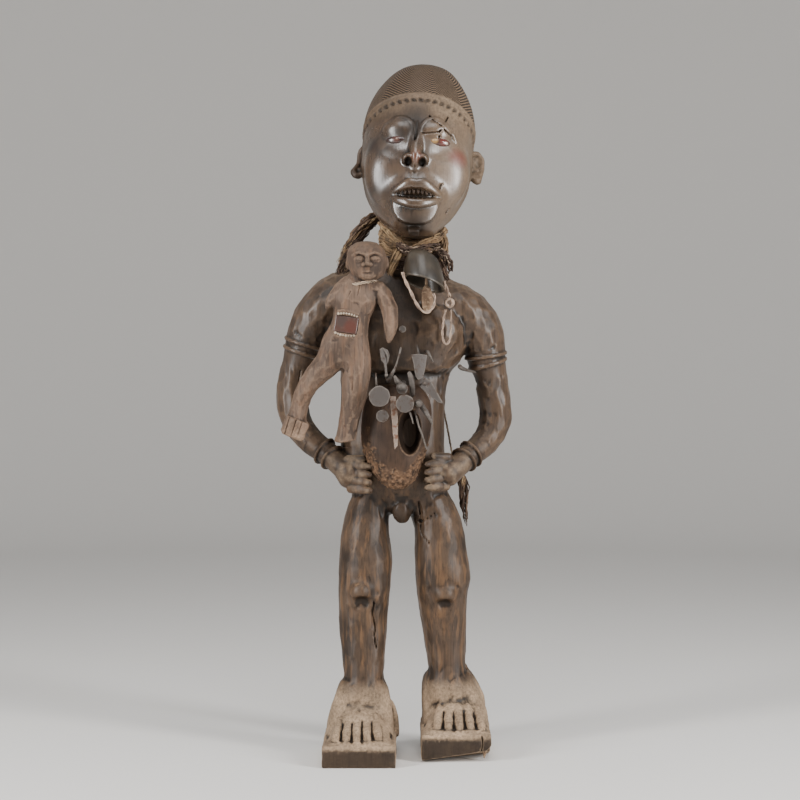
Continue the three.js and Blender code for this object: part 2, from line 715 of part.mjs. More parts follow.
function smallFigure(grow) {
  const { torso, head, legRight, legLeft, armLeft, armRight } = smallRows;
  const [leg, bump] = [{ sides: 8, rings: 6, grow }, { detail: 7, grow }];
  const footSize = [27, 24, 22].map((side) => side + 2 * grow);
  const made = join(
    limb(torso, { sides: 10, rings: 7, grow }),
    column(head, { sides: 10, rings: 6, grow }),
    limb(legRight, leg),
    limb(legLeft, leg),
    limb(armLeft, { sides: 6, rings: 6, grow }),
    limb(armRight, { sides: 6, rings: 4, grow }),
    egg([-64, -80, 545], [8.5, 6, 8], bump),
    egg([-43, -81, 545], [8.5, 6, 8], bump),
    egg([-71, -76, 475], [5.5, 9, 9], bump),
    bar([-125, -57, 396], footSize, [6, 22, 8]),
    ...smallFace(grow),
  );
  if (grow) return made;
  const recess = bar(WINDOW.at, [WINDOW.wide, WINDOW.deep, WINDOW.high], [0, WINDOW.lean, 0]);
  const betweenToes = [-4, 5].map((x) => bar([-124.5 + x, -70, 397 - 0.4 * x], [1.6, 8, 24], [0, 18, 0]));
  return made.subtract(join(recess, betweenToes));
}

function windowPlate(grow) {
  const [x, y, z] = WINDOW.at;
  const size = [WINDOW.wide - 0.8, 3.4, WINDOW.high - 0.8].map((side) => side + 2 * grow);
  return join(bar([x, y + 1.9, z], size, [0, WINDOW.lean, 0]));
}

// Bell cut hollow from its rim, hung mouth down and tipped towards the front.
function bell(grow) {
  const { radius, high, wall } = BELL;
  const outline = (r, h) =>
    [[1, 0], [0.98, 0.25], [0.88, 0.55], [0.72, 0.82], [0.5, 0.96], [0, 1]].map(
      ([share, rise]) => new THREE.Vector2(share * r, rise * h),
    );
  const hollow = outline(radius - wall, high - wall).reverse();
  const filled = [new THREE.Vector2(0, -grow), ...outline(radius + grow, high + grow)];
  const profile = grow ? filled : [...hollow, ...outline(radius, high)];
  const shell = new THREE.LatheGeometry(profile, 16).rotateX(Math.PI / 2);
  return join(place(shell, [BELL.x, BELL.y, BELL.z], [-BELL.tipForward, BELL.tipSide, 0]));
}

function clapper(grow) {
  const weight = [
    [31, -78, 560, 3.6, 3.6],
    [31.8, -80, 554, 6.2, 6.2],
    [32.5, -83, 541, 6.8, 6.8],
    [32.8, -84, 536, 4.8, 4.8],
  ];
  return join(
    rod([31, -68, 598], [31, -79, 556], 1.6 + grow, 1.6 + grow),
    limb(weight, { sides: 8, rings: 5, grow }),
  );
}

// A cord along a curve through [x, y, z] points.
const tube = (path, radius, steps) => (grow) => {
  const sides = 8;
  const curve = new THREE.CatmullRomCurve3(path.map((p) => new THREE.Vector3(...p)));
  const section = new THREE.Shape(
    Array.from({ length: sides }, (_, i) => {
      const t = (2 * Math.PI * i) / sides;
      return new THREE.Vector2((radius + grow) * Math.cos(t), (radius + grow) * Math.sin(t));
    }),
  );
  return join(new THREE.ExtrudeGeometry(section, { extrudePath: curve, steps, bevelEnabled: false }));
};

const cordPaths = {
  loop: [
    [3, -88, 578],
    [7, -96, 566],
    [13, -99, 554],
    [18, -100, 543],
    [24, -101, 534],
    [32, -100, 531],
    [38, -98, 536],
    [41, -95, 546],
    [39, -94, 553],
  ],
  strand: [[51, -84, 568], [55, -77, 558], [58.5, -69, 551]],
  hairpin: [
    [54, -61, 536],
    [51.5, -56, 522],
    [50.5, -55, 508],
    [52, -55, 498],
    [56, -55, 495.5],
    [59.5, -55, 502],
    [60.5, -56, 516],
    [60.5, -61, 536],
  ],
  back: [
    [30, 52, 606],
    [34, 60, 580],
    [38, 64, 530],
    [44, 62, 480],
    [52, 58, 430],
    [60, 58, 390],
    [66, 52, 358],
  ],
};

// A ring round the neck, lower in front than at the nape by twice its rise.
const neckRing = ({ wide, deep, z, rise, radial, level, sides }) => (grow) => {
  const at = (t) => [13 + wide * Math.cos(t), 3 + deep * Math.sin(t), z + rise * Math.sin(t)];
  return join(hoop(ringPoints(14, at), radial + grow, level + grow, sides));
};

// The small figure's neck cord, with the end by which it hangs.
function smallCord(grow) {
  const at = (t) => [-44.5 + 17 * Math.cos(t), -71 + 15.5 * Math.sin(t), 566 + 3 * Math.cos(t)];
  const end = rod([-29, -70, 569], [-24, -60, 580], 2 + grow, 2 + grow);
  return join(hoop(ringPoints(12, at), 2.4 + grow, 2.6 + grow, 5), end);
}

// A bundle of fibres, twigs or string, as one tapering mass.
const bundle = (sides, ...rows) => (grow) => join(limb(rows, { sides, rings: rows.length, grow }));

// Pieces set into the wood, which is cut to hold them, then the pieces on and around it. Each piece
// is cut clear of those before it.
const setIn = {
  ...irons,
  eye_right: eye(-1),
  eye_left: eye(1),
  foot_splinter: bundle(6, [100, -56, 25, 3, 2.5], [100.5, -59, 12, 2.4, 2], [100, -60, 3, 0.6, 0.6]),
};
const hungOn = {
  belly_window: windowPlate,
  small_figure: smallFigure,
  medicine_pack: pack,
  bell_clapper: clapper,
  bell,
  thong_knot: (grow) => join(egg([58.5, -62, 544], [5.5, 5.5, 6], { turn: [0, 20, 0], grow })),
  thong_loop: tube(cordPaths.loop, 2.1, 16),
  thong_strand: tube(cordPaths.strand, 2.8, 4),
  thong_hairpin: tube(cordPaths.hairpin, 1.6, 16),
  neck_binding: neckRing({ wide: 36, deep: 38, z: 626, rise: 14, radial: 9, level: 15, sides: 6 }),
  cord_necklace: neckRing({ wide: 43, deep: 46, z: 601, rise: 9, radial: 6, level: 8, sides: 5 }),
  small_figure_cord: smallCord,
  raffia_tuft: bundle(
    6,
    [0, -56, 606, 5, 5],
    [-4, -64, 597, 7, 6],
    [-9, -66, 586, 6, 5],
    [-13, -66, 575, 4, 4],
  ),
  raffia_hank: bundle(
    8,
    [-22, 34, 642, 5, 5],
    [-38, 24, 648, 7, 7],
    [-50, 12, 632, 9, 8],
    [-62, 2, 608, 10, 9],
    [-72, -7, 587, 11, 9],
    [-79, -12, 574, 8, 7],
  ),
  twig_bundle: bundle(
    6,
    [50, -28, 606, 5, 5],
    [58, -30, 594, 7, 6],
    [64, -30, 582, 6, 5],
    [68, -30, 571, 3, 3],
  ),
  back_cord: tube(cordPaths.back, 1.8, 16),
  hip_tassel: bundle(
    6,
    [68, 44, 346, 3, 3],
    [76, 38, 332, 6, 6],
    [79, 32, 316, 7, 7],
    [80, 30, 300, 5, 5],
    [82, 30, 272, 2.5, 2.5],
  ),
};
const finishes = {
  figure: "wood",
  eye_right: "glass",
  eye_left: "glass",
  foot_splinter: "paleWood",
  belly_window: "glass",
  small_figure: "paleWood",
  medicine_pack: "resin",
  bell_clapper: "paleWood",
  bell: "darkWood",
  thong_knot: "leather",
  thong_loop: "leather",
  thong_strand: "leather",
  thong_hairpin: "leather",
  neck_binding: "raffia",
  raffia_tuft: "raffia",
  rusty_blade: "rust",
};

const [nailFigure, carved, driven, hung] = Array.from({ length: 4 }, () => new THREE.Group());
nailFigure.add(carved, driven, hung);

function show(group, name, made, plain) {
  const { numProp, vertProperties, triVerts } = made.getMesh();
  const points = Array.from({ length: vertProperties.length / numProp }, (_, i) =>
    new THREE.Vector3(...vertProperties.slice(i * numProp, i * numProp + 3)),
  );
  const geometry = new THREE.BufferGeometry().setFromPoints(points).setIndex([...triVerts]);
  geometry.computeVertexNormals();
  const mesh = new THREE.Mesh(geometry, MATERIALS[finishes[name] ?? plain]);
  mesh.name = name;
  group.add(mesh);
}

let figure = carving(0);
const room = [carving(GAP)];
for (const [name, make] of Object.entries(setIn)) {
  figure = figure.subtract(make(GAP));
  room.push(make(GAP));
  show(driven, name, make(0), "iron");
}
show(carved, "figure", figure);
for (const [name, make] of Object.entries(hungOn)) {
  show(hung, name, room.reduce((left, taken) => left.subtract(taken), make(0)), "cord");
  room.push(make(GAP));
}

// The origin lies on the floor, under the middle of the whole.
const box = new THREE.Box3().setFromObject(nailFigure);
const middle = box.getCenter(new THREE.Vector3());
nailFigure.position.set(-middle.x, -middle.y, -box.min.z);

export default nailFigure;
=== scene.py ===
# A carved nail figure: oiled and smoked hardwood cut with an adze, forged iron driven in round a
# resin pack, glass eyes, a hanging carved figure, a wooden bell, raffia, twine and hide thongs.
import math

import bpy
import numpy as np
from mathutils import Matrix, Vector, kdtree


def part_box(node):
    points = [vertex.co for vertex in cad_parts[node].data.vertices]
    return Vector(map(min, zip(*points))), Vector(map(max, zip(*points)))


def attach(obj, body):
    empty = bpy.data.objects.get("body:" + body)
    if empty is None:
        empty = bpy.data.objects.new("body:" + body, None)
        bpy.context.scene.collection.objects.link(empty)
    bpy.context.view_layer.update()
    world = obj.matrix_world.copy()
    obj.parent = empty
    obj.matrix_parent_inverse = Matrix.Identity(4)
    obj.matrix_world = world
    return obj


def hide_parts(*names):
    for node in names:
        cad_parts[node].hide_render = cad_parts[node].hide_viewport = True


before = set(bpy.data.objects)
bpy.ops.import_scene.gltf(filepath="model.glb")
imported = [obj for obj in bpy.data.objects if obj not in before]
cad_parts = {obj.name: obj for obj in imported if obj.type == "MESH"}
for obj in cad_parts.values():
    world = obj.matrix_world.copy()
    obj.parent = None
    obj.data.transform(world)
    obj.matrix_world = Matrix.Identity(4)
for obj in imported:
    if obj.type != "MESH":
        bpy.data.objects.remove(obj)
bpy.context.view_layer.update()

# The carver's measures are in millimetres, +Z up, with the figure facing -Y, so that its right side
# is towards -X. The window in the small figure's belly shows where they lie in the frame.
WINDOW = {"at": (-63.2, -86.0, 517.0), "wide": 28.0, "high": 20.5, "deep": 8.0, "lean": 9.0}
PANE = {"behind": 1.9, "thick": 3.4, "narrower": 0.8}
window_low, window_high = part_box("belly_window")
window_middle = 500.0 * np.array(window_low + window_high)  # half the sum, from metres to millimetres
SHIFT = window_middle - np.array([WINDOW["at"][0], WINDOW["at"][1] + PANE["behind"], WINDOW["at"][2]])


def metres(points):
    """Carver's millimetres to the frame's metres."""
    return (np.asarray(points, float) + SHIFT) / 1000.0


# Camera: level, as far off as gives the photograph's perspective, its middle at the figure's belt.
CAMERA_AWAY = 2200.0
CAMERA_HIGH = 428.7
VIEW_WIDE = 976.0  # what the picture takes in at the figure's middle

camera_data = bpy.data.cameras.new("camera")
camera_data.sensor_fit = "HORIZONTAL"
camera_data.angle = 2 * math.atan(VIEW_WIDE / 2 / CAMERA_AWAY)
camera_data.clip_end = 50
camera = bpy.data.objects.new("camera", camera_data)
camera.location = metres([0, -CAMERA_AWAY, CAMERA_HIGH])
camera.rotation_euler = (math.radians(90), 0, 0)
bpy.context.scene.collection.objects.link(camera)
bpy.context.scene.camera = camera

# Rows of a column are z, x, y, half width, depth in front, depth behind; rows of a limb are x, y, z,
# half width, half depth.
HEAD = {"x": 22, "y": -10, "z": 725, "tilt_back": 10, "lean": 3}
# The cap's edge falls by a share of the way back, and a notched band hangs below it. Its plait has a row
# every 3.8 mm, which turns every 33 degrees round the head.
CAP = {"edge_at_ears": 31, "fall": 0.46, "thick": 2.4, "cordon": 1.3, "band": 13.0, "plait": 3.8, "turns": 33}
HEAD_ROWS = [
    (-112, 0, -34, 8, 9, 10),
    (-106, 0, -30, 23, 25, 20),
    (-95, -1.5, -22, 34, 41, 30),
    (-81, -1.5, -13, 45, 54, 40),
    (-66, -1.5, -8, 54, 62, 47),
    (-46, -1, -3, 62, 68, 58),
    (-18, -1, 0, 67, 71, 69),
    (14, -0.8, 2, 67, 72, 78),
    (45, 0, 6, 64.5, 70, 78),
    (70, 0.5, 9, 57.5, 61, 69),
    (92, 1.5, 11, 45, 49, 54),
    (107, 3, 12, 31, 35, 37),
    (114.5, 3.5, 12, 14, 15, 16),
]
TORSO_ROWS = [
    (292, 3, 4, 46, 26, 36),
    (312, 0, 4, 57, 37, 50),
    (335, -4, 3, 62, 44, 54),
    (365, -9, 2, 63, 45, 47),
    (400, -9, 2, 63, 42, 41),
    (440, -8, 2, 64, 40, 41),
    (470, -4, 2, 68, 40, 43),
]
CHEST_ROWS = [
    (459, -2, 0, 52, 36, 36),
    (465, -2, 0, 65, 48, 43),
    (484, -1, 0, 79, 52, 47),
    (515, -1, 1, 91, 50, 49),
    (545, 0, 3, 88, 43, 47),
    (568, 2, 5, 68, 36, 41),
    (584, 5, 6, 49, 32, 36),
    (600, 9, 6, 38, 31, 34),
    (625, 14, 5, 34, 31, 34),
    (650, 18, 4, 33, 30, 36),
    (676, 20, 4, 33, 28, 38),
]
ARM_LEFT = [
    (36, 4, 554, 24, 30),
    (68, 4, 541.5, 29.5, 35),
    (90, 5, 522, 30, 33),
    (102, 7, 498, 26, 29),
    (106, 9, 478, 23, 26),
    (111, 11, 460, 20, 23),
    (115, 13, 434, 19.5, 22),
    (117, 13, 410, 19.5, 21),
    (112, 8, 390, 18, 19),
    (99, -3, 373, 16, 17),
    (82, -15, 360.5, 14.2, 15),
    (71, -25, 350, 13.5, 14),
    (58, -34, 341, 15, 12),
]
ARM_RIGHT = [
    (-36, 4, 562, 24, 30),
    (-72, 4, 555, 30, 35),
    (-96, 5, 534, 30, 33),
    (-111, 7, 512, 26, 29),
    (-118, 9, 493, 23, 26),
    (-124, 11, 474, 20, 23),
    (-131, 13, 447, 19.5, 22),
    (-131, 13, 420, 19, 21),
    (-124, 8, 398, 17.5, 19),
    (-107, -4, 378, 16, 17),
    (-87, -15, 363.5, 14.2, 15),
    (-74, -25, 352, 13.5, 14),
    (-61, -34, 342, 15, 12),
]
# Armbands and bracelets, at places counted in the arm's rows: how far proud, and how thick.
BANDS = {3.72: (2.8, 4.0), 4.28: (2.8, 4.0), 9.75: (3.8, 3.0), 10.35: (4.0, 3.0)}
KNEECAPS = ((54, -30.5, 194.5), (-46, -44, 199))
CRACKS = [  # x, z where the wood has split
    [(18, 285), (27.5, 283), (36, 288), (43, 293)],
    [(27.5, 283), (25, 272), (30, 262), (37, 255)],
    [(27.5, 283), (24, 294), (22, 306)],
    [(-31.5, 187), (-32.5, 172), (-30.5, 158), (-31, 146), (-29, 132)],
    [(-121, 466), (-124, 447), (-125, 430), (-122, 414)],
    [(97, 31), (97.5, 21), (96, 12)],
]
LEG_LEFT = [
    (60, 60, 2, 24, 28, 30),
    (80, 59.5, 2, 28, 30, 32),
    (99, 57.3, 4, 23, 27, 29),
    (131, 55.4, 4, 25, 27, 33),
    (165, 53, 1, 28, 28, 36),
    (192, 51.3, -2, 30.5, 31, 32),
    (214, 52.3, -3, 33, 34, 33),
    (240, 50, -1, 32, 36, 36),
    (270, 47.8, 2, 30, 36, 42),
    (292, 41, 4, 30, 34, 46),
    (316, 32, 4, 27, 32, 46),
]
LEG_RIGHT = [
    (52, -46, -20, 24, 28, 30),
    (78, -45.4, -22, 28, 30, 32),
    (97, -43.7, -20, 24.2, 27, 29),
    (144, -44.6, -16, 27.8, 27, 34),
    (170, -44.2, -15, 29.5, 28, 35),
    (192, -43.6, -15, 30.8, 31, 31),
    (212, -42.5, -13, 31.5, 33, 33),
    (236, -41.5, -8, 32, 36, 36),
    (270, -42, -1, 28.5, 36, 42),
    (292, -39, 3, 27, 34, 46),
    (316, -32, 4, 25, 32, 46),
]
BLOCK_LEFT = {"x0": 25.5, "x1": 108, "y0": -70, "y1": 52, "high": 33, "worn": 21, "toes": 71,
              "toe": 13.6, "strut": [(75, 24, 106, 3, 4), (81, 28, 98, 2.6, 3.4), (90, 31, 84, 3, 4),
                                     (100, 34, 60, 4.4, 5.6), (101, 36, 28, 4.6, 6)], "hole": (79.5, 26, 91)}
BLOCK_RIGHT = {"x0": -91, "x1": -5, "y0": -103, "y1": 22, "high": 25.5, "worn": 0, "toes": -50.5,
               "toe": 12.8, "strut": [(-25, -3, 60.5, 6.5, 7), (-13, 3, 57, 5.4, 6.5), (-7, 7, 40, 4.6, 6.5),
                                      (-6, 9, 21, 4.8, 7)], "hole": (-12.8, 2, 50)}


# Forms are cut as distances to a surface, in millimetres, negative inside the wood.
def row_at(rows, places):
    """Rows on a smooth curve through all rows, at places counted in rows."""
    table = np.array(rows, float)
    last = len(table) - 1
    places = np.asarray(places, float)
    first = np.clip(np.floor(places).astype(int), 0, last - 1)
    t = (places - first)[:, None]
    before = table[np.maximum(first - 1, 0)]
    a, b = table[first], table[first + 1]
    after = table[np.minimum(first + 2, last)]
    slope_in, slope_out = (b - before) / 2, (after - a) / 2
    from_a = 2 * t**3 - 3 * t**2 + 1
    return from_a * a + (1 - from_a) * b + (t**3 - 2 * t**2 + t) * slope_in + (t**3 - t**2) * slope_out


def turned(ax=0.0, ay=0.0, az=0.0):
    """The rotation about X, then Y, then Z as seen from the piece."""
    x, y, z = (Matrix.Rotation(math.radians(a), 3, n) for a, n in ((ax, "X"), (ay, "Y"), (az, "Z")))
    return np.array(x @ y @ z)


NO_TURN = np.eye(3)
HEAD_TURN = turned(-HEAD["tilt_back"], HEAD["lean"], 0)
HEAD_AT = np.array([HEAD["x"], HEAD["y"], HEAD["z"]], float)


def from_head(point):
    """A place in the head's own measures, in the figure's."""
    return HEAD_AT + HEAD_TURN @ np.asarray(point, float)


def radial(across, radius):
    """Distance to an oval surface, from a point's place across it and that place over the radii."""
    return across * (1 - 1 / np.maximum(radius, 0.02))


class Wood:
    """A block of wood on a grid of measuring points, from which forms are built up and cut."""

    def __init__(self, xs, ys, zs):
        self.axes = [np.asarray(a, np.float32) for a in (xs, ys, zs)]
        self.depth = np.full([len(a) for a in self.axes], 40.0, np.float32)

    def part(self, low, high):
        """The slices of the grid between two corners, and its points there."""
        cut = []
        for axis, a, b in zip(self.axes, low, high):
            i, j = np.searchsorted(axis, (a, b))
            cut.append(slice(max(i - 1, 0), min(j + 1, len(axis))))
        x, y, z = (axis[s] for axis, s in zip(self.axes, cut))
        return tuple(cut), x[:, None, None], y[None, :, None], z[None, None, :]

    def apply(self, cut, form, soft=0.0, away=False):
        """Join a form to the wood, or cut it away, with a rounding of soft millimetres."""
        was = self.depth[cut]
        form = form.astype(np.float32)
        sign = -1.0 if away else 1.0
        a = sign * was
        if soft > 0:
            blend = np.maximum(soft - np.abs(a - form), 0) / soft
            made = np.minimum(a, form) - blend * blend * soft * 0.25
        else:
            made = np.minimum(a, form)
        self.depth[cut] = sign * made

    def placed(self, low, high, at, turn, margin):
        """The part of the grid round a turned box, with points in the box's own place."""
        corners = np.array([[x, y, z] for x in (low[0], high[0]) for y in (low[1], high[1])
                            for z in (low[2], high[2])], float)
        world = corners @ turn.T + at
        cut, x, y, z = self.part(world.min(0) - margin, world.max(0) + margin)
        x, y, z = x - at[0], y - at[1], z - at[2]
        own = [turn[0, k] * x + turn[1, k] * y + turn[2, k] * z for k in range(3)]
        return cut, own

    def egg(self, at, radii, turn=NO_TURN, soft=0.0, away=False):
        """An egg of wood, or a hollow of that form."""
        radii = np.array(radii, float)
        cut, own = self.placed(-radii, radii, np.array(at, float), turn, soft + 3)
        across = np.sqrt(own[0] ** 2 + own[1] ** 2 + own[2] ** 2)
        share = np.sqrt(sum((o / r) ** 2 for o, r in zip(own, radii)))
        self.apply(cut, radial(across, share), soft, away)

    def bar(self, at, size, turn=NO_TURN, rounding=1.0, soft=0.0, away=False):
        """A bar of wood with rounded edges, or a slot of that form."""
        half = np.array(size, float) / 2
        cut, own = self.placed(-half, half, np.array(at, float), turn, soft + 3)
        out = [np.abs(o) - (h - rounding) for o, h in zip(own, half)]
        outside = np.sqrt(sum(np.maximum(o, 0) ** 2 for o in out))
        inside = np.minimum(np.maximum(np.maximum(out[0], out[1]), out[2]), 0)
        self.apply(cut, outside + inside - rounding, soft, away)

    def column(self, rows, power=2.0, at=(0, 0, 0), turn=NO_TURN, soft=0.0, ends=5.0, grow=0.0, keep=None):
        """An upright form; keep(x, y, z) is a distance that it is trimmed to."""
        fine = row_at(rows, np.linspace(0, len(rows) - 1, 12 * len(rows)))
        heights = fine[:, 0]
        wide = float(fine[:, 3].max()) + grow
        deep = float(fine[:, 4:6].max() + np.abs(fine[:, 2]).max()) + grow
        middle = float(fine[:, 1].mean())
        low = (middle - wide - 8, -deep, heights[0] - grow)
        high = (middle + wide + 8, deep, heights[-1] + grow)
        cut, (x, y, z) = self.placed(low, high, np.array(at, float), turn, soft + 3)

        def level(values):
            return np.interp(z, heights, values)

        slope = np.gradient(fine[:, 3:6].mean(1), heights)
        dx, dy = x - level(fine[:, 1]), y - level(fine[:, 2])
        width = level(fine[:, 3]) + grow
        depth = np.where(dy < 0, level(fine[:, 4]), level(fine[:, 5])) + grow
        share = ((np.abs(dx) / width) ** power + (np.abs(dy) / depth) ** power) ** (1 / power)
        form = radial(np.hypot(dx, dy), share) / np.sqrt(1 + level(slope) ** 2)
        for end in (heights[0] - grow - z, z - heights[-1] - grow):
            form = round_off(form, end, ends)
        if keep is not None:
            form = round_off(form, keep(x, y, z), 0.6)
        self.apply(cut, form, soft)

    def limb(self, rows, face=(0, -1, 0), soft=0.0, away=False, step=3.0, power=2.0, place=None):
        """A tapered form along a bending path, whose half widths lie across the face direction."""
        table = np.array(rows, float)
        face = np.array(face, float)
        if place is not None:
            table[:, :3] = table[:, :3] @ place[1].T + place[0]
            face = place[1] @ face
        length = np.linalg.norm(np.diff(table[:, :3], axis=0), axis=1).sum()
        count = max(int(length / step), 2 * (len(table) - 1))
        fine = row_at(table, np.linspace(0, len(table) - 1, count + 1))
        reach = fine[:, 3:5].max() + soft + 3
        whole, *_ = self.part(fine[:, :3].min(0) - reach, fine[:, :3].max(0) + reach)
        form = np.full([s.stop - s.start for s in whole], 40.0, np.float32)
        for a, b in zip(fine[:-1], fine[1:]):
            margin = max(a[3], a[4], b[3], b[4]) + soft + 3
            ends = np.stack([a[:3], b[:3]])
            cut, x, y, z = self.part(ends.min(0) - margin, ends.max(0) + margin)
            along = b[:3] - a[:3]
            size = np.linalg.norm(along)
            if size < 1e-6:
                continue
            along = along / size
            side = np.cross(face, along)
            side = side / np.linalg.norm(side)
            front = np.cross(along, side)
            q = [x - a[0], y - a[1], z - a[2]]
            far = along[0] * q[0] + along[1] * q[1] + along[2] * q[2]
            t = np.clip(far / size, 0, 1)
            across = side[0] * q[0] + side[1] * q[1] + side[2] * q[2]
            out = front[0] * q[0] + front[1] * q[1] + front[2] * q[2]
            past = far - t * size
            wide, deep = a[3] + (b[3] - a[3]) * t, a[4] + (b[4] - a[4]) * t
            share = ((np.abs(across) / wide) ** power + (np.abs(out) / deep) ** power
                     + (np.abs(past) / np.minimum(wide, deep)) ** power) ** (1 / power)
            here = radial(np.sqrt(across**2 + out**2 + past**2), share)
            local = tuple(slice(c.start - w.start, c.stop - w.start) for c, w in zip(cut, whole))
            form[local] = np.minimum(form[local], here)
        self.apply(whole, form, soft, away)

    def band(self, rows, at, proud, thick):
        """A ring that stands proud round a limb, at a place counted in the limb's rows."""
        before, here, after = row_at(rows, [at - 0.2, at, at + 0.2])
        along = (after - before)[:3] / np.linalg.norm((after - before)[:3])
        side = np.cross((0, -1, 0), along)
        side = side / np.linalg.norm(side)
        turn = np.stack([side, np.cross(along, side), along], 1)
        half = here[3:5].max() + proud
        box = np.array([half, half, thick])
        cut, (x, y, z) = self.placed(-box, box, here[:3], turn, 3)
        share = np.hypot(x / (here[3] + proud), y / (here[4] + proud))
        self.apply(cut, flat_edged(radial(np.hypot(x, y), share), z, thick, 1.0), 0.5)

    def disc(self, at, radius, thick, turn=NO_TURN, rounding=0.6, soft=0.0):
        """A round plate that faces front, its rim hammered a little uneven."""
        box = np.array([radius, thick / 2, radius], float)
        cut, (x, y, z) = self.placed(-box, box, np.array(at, float), turn, soft + 3)
        uneven = 1 + 0.018 * np.sin(5 * np.arctan2(z, x) + radius) + 0.012 * np.cos(9 * np.arctan2(z, x))
        form = np.hypot(x, z) - radius * uneven
        self.apply(cut, flat_edged(form, y, thick, rounding), soft)

    def plate(self, outline, thick, at, turn=NO_TURN, rounding=0.4, soft=0.0, bend=0.0):
        """A plate with an outline of x, z points, bent round its upright middle by bend a millimetre."""
        corners = np.array(outline, float)
        reach = np.abs(corners).max() * np.array([1, 0, 1]) + [0, thick + 3, 0]
        cut, (x, y, z) = self.placed(-reach, reach, np.array(at, float), turn, soft + 3)
        x, y, z = np.broadcast_arrays(x, y, z)
        nearest = np.full(x.shape, 1e6)
        inside = np.zeros(x.shape, bool)
        for (ax, az), (bx, bz) in zip(corners, np.roll(corners, -1, axis=0)):
            along = np.array([bx - ax, bz - az])
            t = np.clip(((x - ax) * along[0] + (z - az) * along[1]) / (along @ along), 0, 1)
            nearest = np.minimum(nearest, np.hypot(x - ax - t * along[0], z - az - t * along[1]))
            if az != bz:
                inside ^= ((az > z) != (bz > z)) & (x < (bx - ax) * (z - az) / (bz - az) + ax)
        form = np.where(inside, -nearest, nearest)
        self.apply(cut, flat_edged(form, y - bend * x * x, thick, rounding), soft)

    def front(self, x, z):
        """How far forward the wood stands at a place seen from the front."""
        i, k = (np.searchsorted(axis, at) for axis, at in zip(self.axes[::2], (x, z)))
        return float(self.axes[1][np.argmax(self.depth[i, :, k] < 0)])

    def surface(self):
        """The wood's surface as points in millimetres and four-sided faces."""
        inside = self.depth < 0
        nx, ny, nz = inside.shape
        count = np.zeros((nx - 1, ny - 1, nz - 1), np.uint8)
        for i in (0, 1):
            for j in (0, 1):
                for k in (0, 1):
                    count += inside[i:nx - 1 + i, j:ny - 1 + j, k:nz - 1 + k]
        mixed = (count > 0) & (count < 8)
        cells = np.argwhere(mixed)
        number = np.full(mixed.shape, -1, np.int32)
        number[mixed] = np.arange(len(cells))
        total = np.zeros((len(cells), 3))
        hits = np.zeros(len(cells))
        for axis in range(3):
            others = [a for a in range(3) if a != axis]
            for i in (0, 1):
                for j in (0, 1):
                    start = cells.copy()
                    start[:, others[0]] += i
                    start[:, others[1]] += j
                    end = start.copy()
                    end[:, axis] += 1
                    a, b = self.depth[tuple(start.T)], self.depth[tuple(end.T)]
                    crossed = (a < 0) != (b < 0)
                    share = np.where(crossed, a / np.where(a == b, 1, a - b), 0)
                    point = start.astype(float)
                    point[:, axis] += share
                    total[crossed] += point[crossed]
                    hits[crossed] += 1
        points = total / hits[:, None]
        points = np.stack([np.interp(places, np.arange(len(axis)), axis)
                           for places, axis in zip(points.T, self.axes)], 1)
        faces = []
        for axis in range(3):
            b, c = (axis + 1) % 3, (axis + 2) % 3
            lower = [slice(None)] * 3
            upper = [slice(None)] * 3
            lower[axis], upper[axis] = slice(0, -1), slice(1, None)
            changes = inside[tuple(lower)] != inside[tuple(upper)]
            at = np.argwhere(changes)
            at = at[(at[:, b] > 0) & (at[:, c] > 0) & (at[:, b] < inside.shape[b] - 1)
                    & (at[:, c] < inside.shape[c] - 1)]
            quad = []
            for db, dc in ((1, 1), (0, 1), (0, 0), (1, 0)):
                cell = at.copy()
                cell[:, b] -= db
                cell[:, c] -= dc
                quad.append(number[tuple(cell.T)])
            quad = np.stack(quad, 1)
            out = inside[tuple(at.T)]
            quad[~out] = quad[~out][:, ::-1]
            faces.append(quad)
        return points, np.concatenate(faces)


def flat_edged(form, out, thick, rounding):
    """A flat form's distance, from that to its outline and how far a point lies out of its plane."""
    a, b = form + rounding, np.abs(out) - thick / 2 + rounding
    return np.hypot(np.maximum(a, 0), np.maximum(b, 0)) + np.minimum(np.maximum(a, b), 0) - rounding


def round_off(form, limit, soft):
    """The part of a form that lies within a limit, its new edge rounded."""
    blend = np.maximum(soft - np.abs(form - limit), 0) / soft
    return np.maximum(form, limit) + blend * blend * soft * 0.25


def steps(*spans):
    """Measuring heights: each span is its end and the step up to it, after the first start."""
    start, places = spans[0], [spans[0]]
    for end, step in spans[1:]:
        count = max(round((end - start) / step), 1)
        places.extend(start + (end - start) * (i + 1) / count for i in range(count))
        start = end
    return places


def face_front(x, z):
    """How far forward the head's plain form stands at a place of the face, in the head's measures."""
    table = np.array(HEAD_ROWS, float)
    middle, wide, fore = (np.interp(z, table[:, 0], table[:, k]) for k in (2, 3, 4))
    return middle - fore * np.sqrt(np.maximum(1 - (x / wide) ** 2, 0.02))


def on_face(points, out, half, deep):
    """Limb rows through x, z places of the face, standing out from it, with their half sizes."""
    return [(x, face_front(x, z) - out, z, half, deep) for x, z in points]


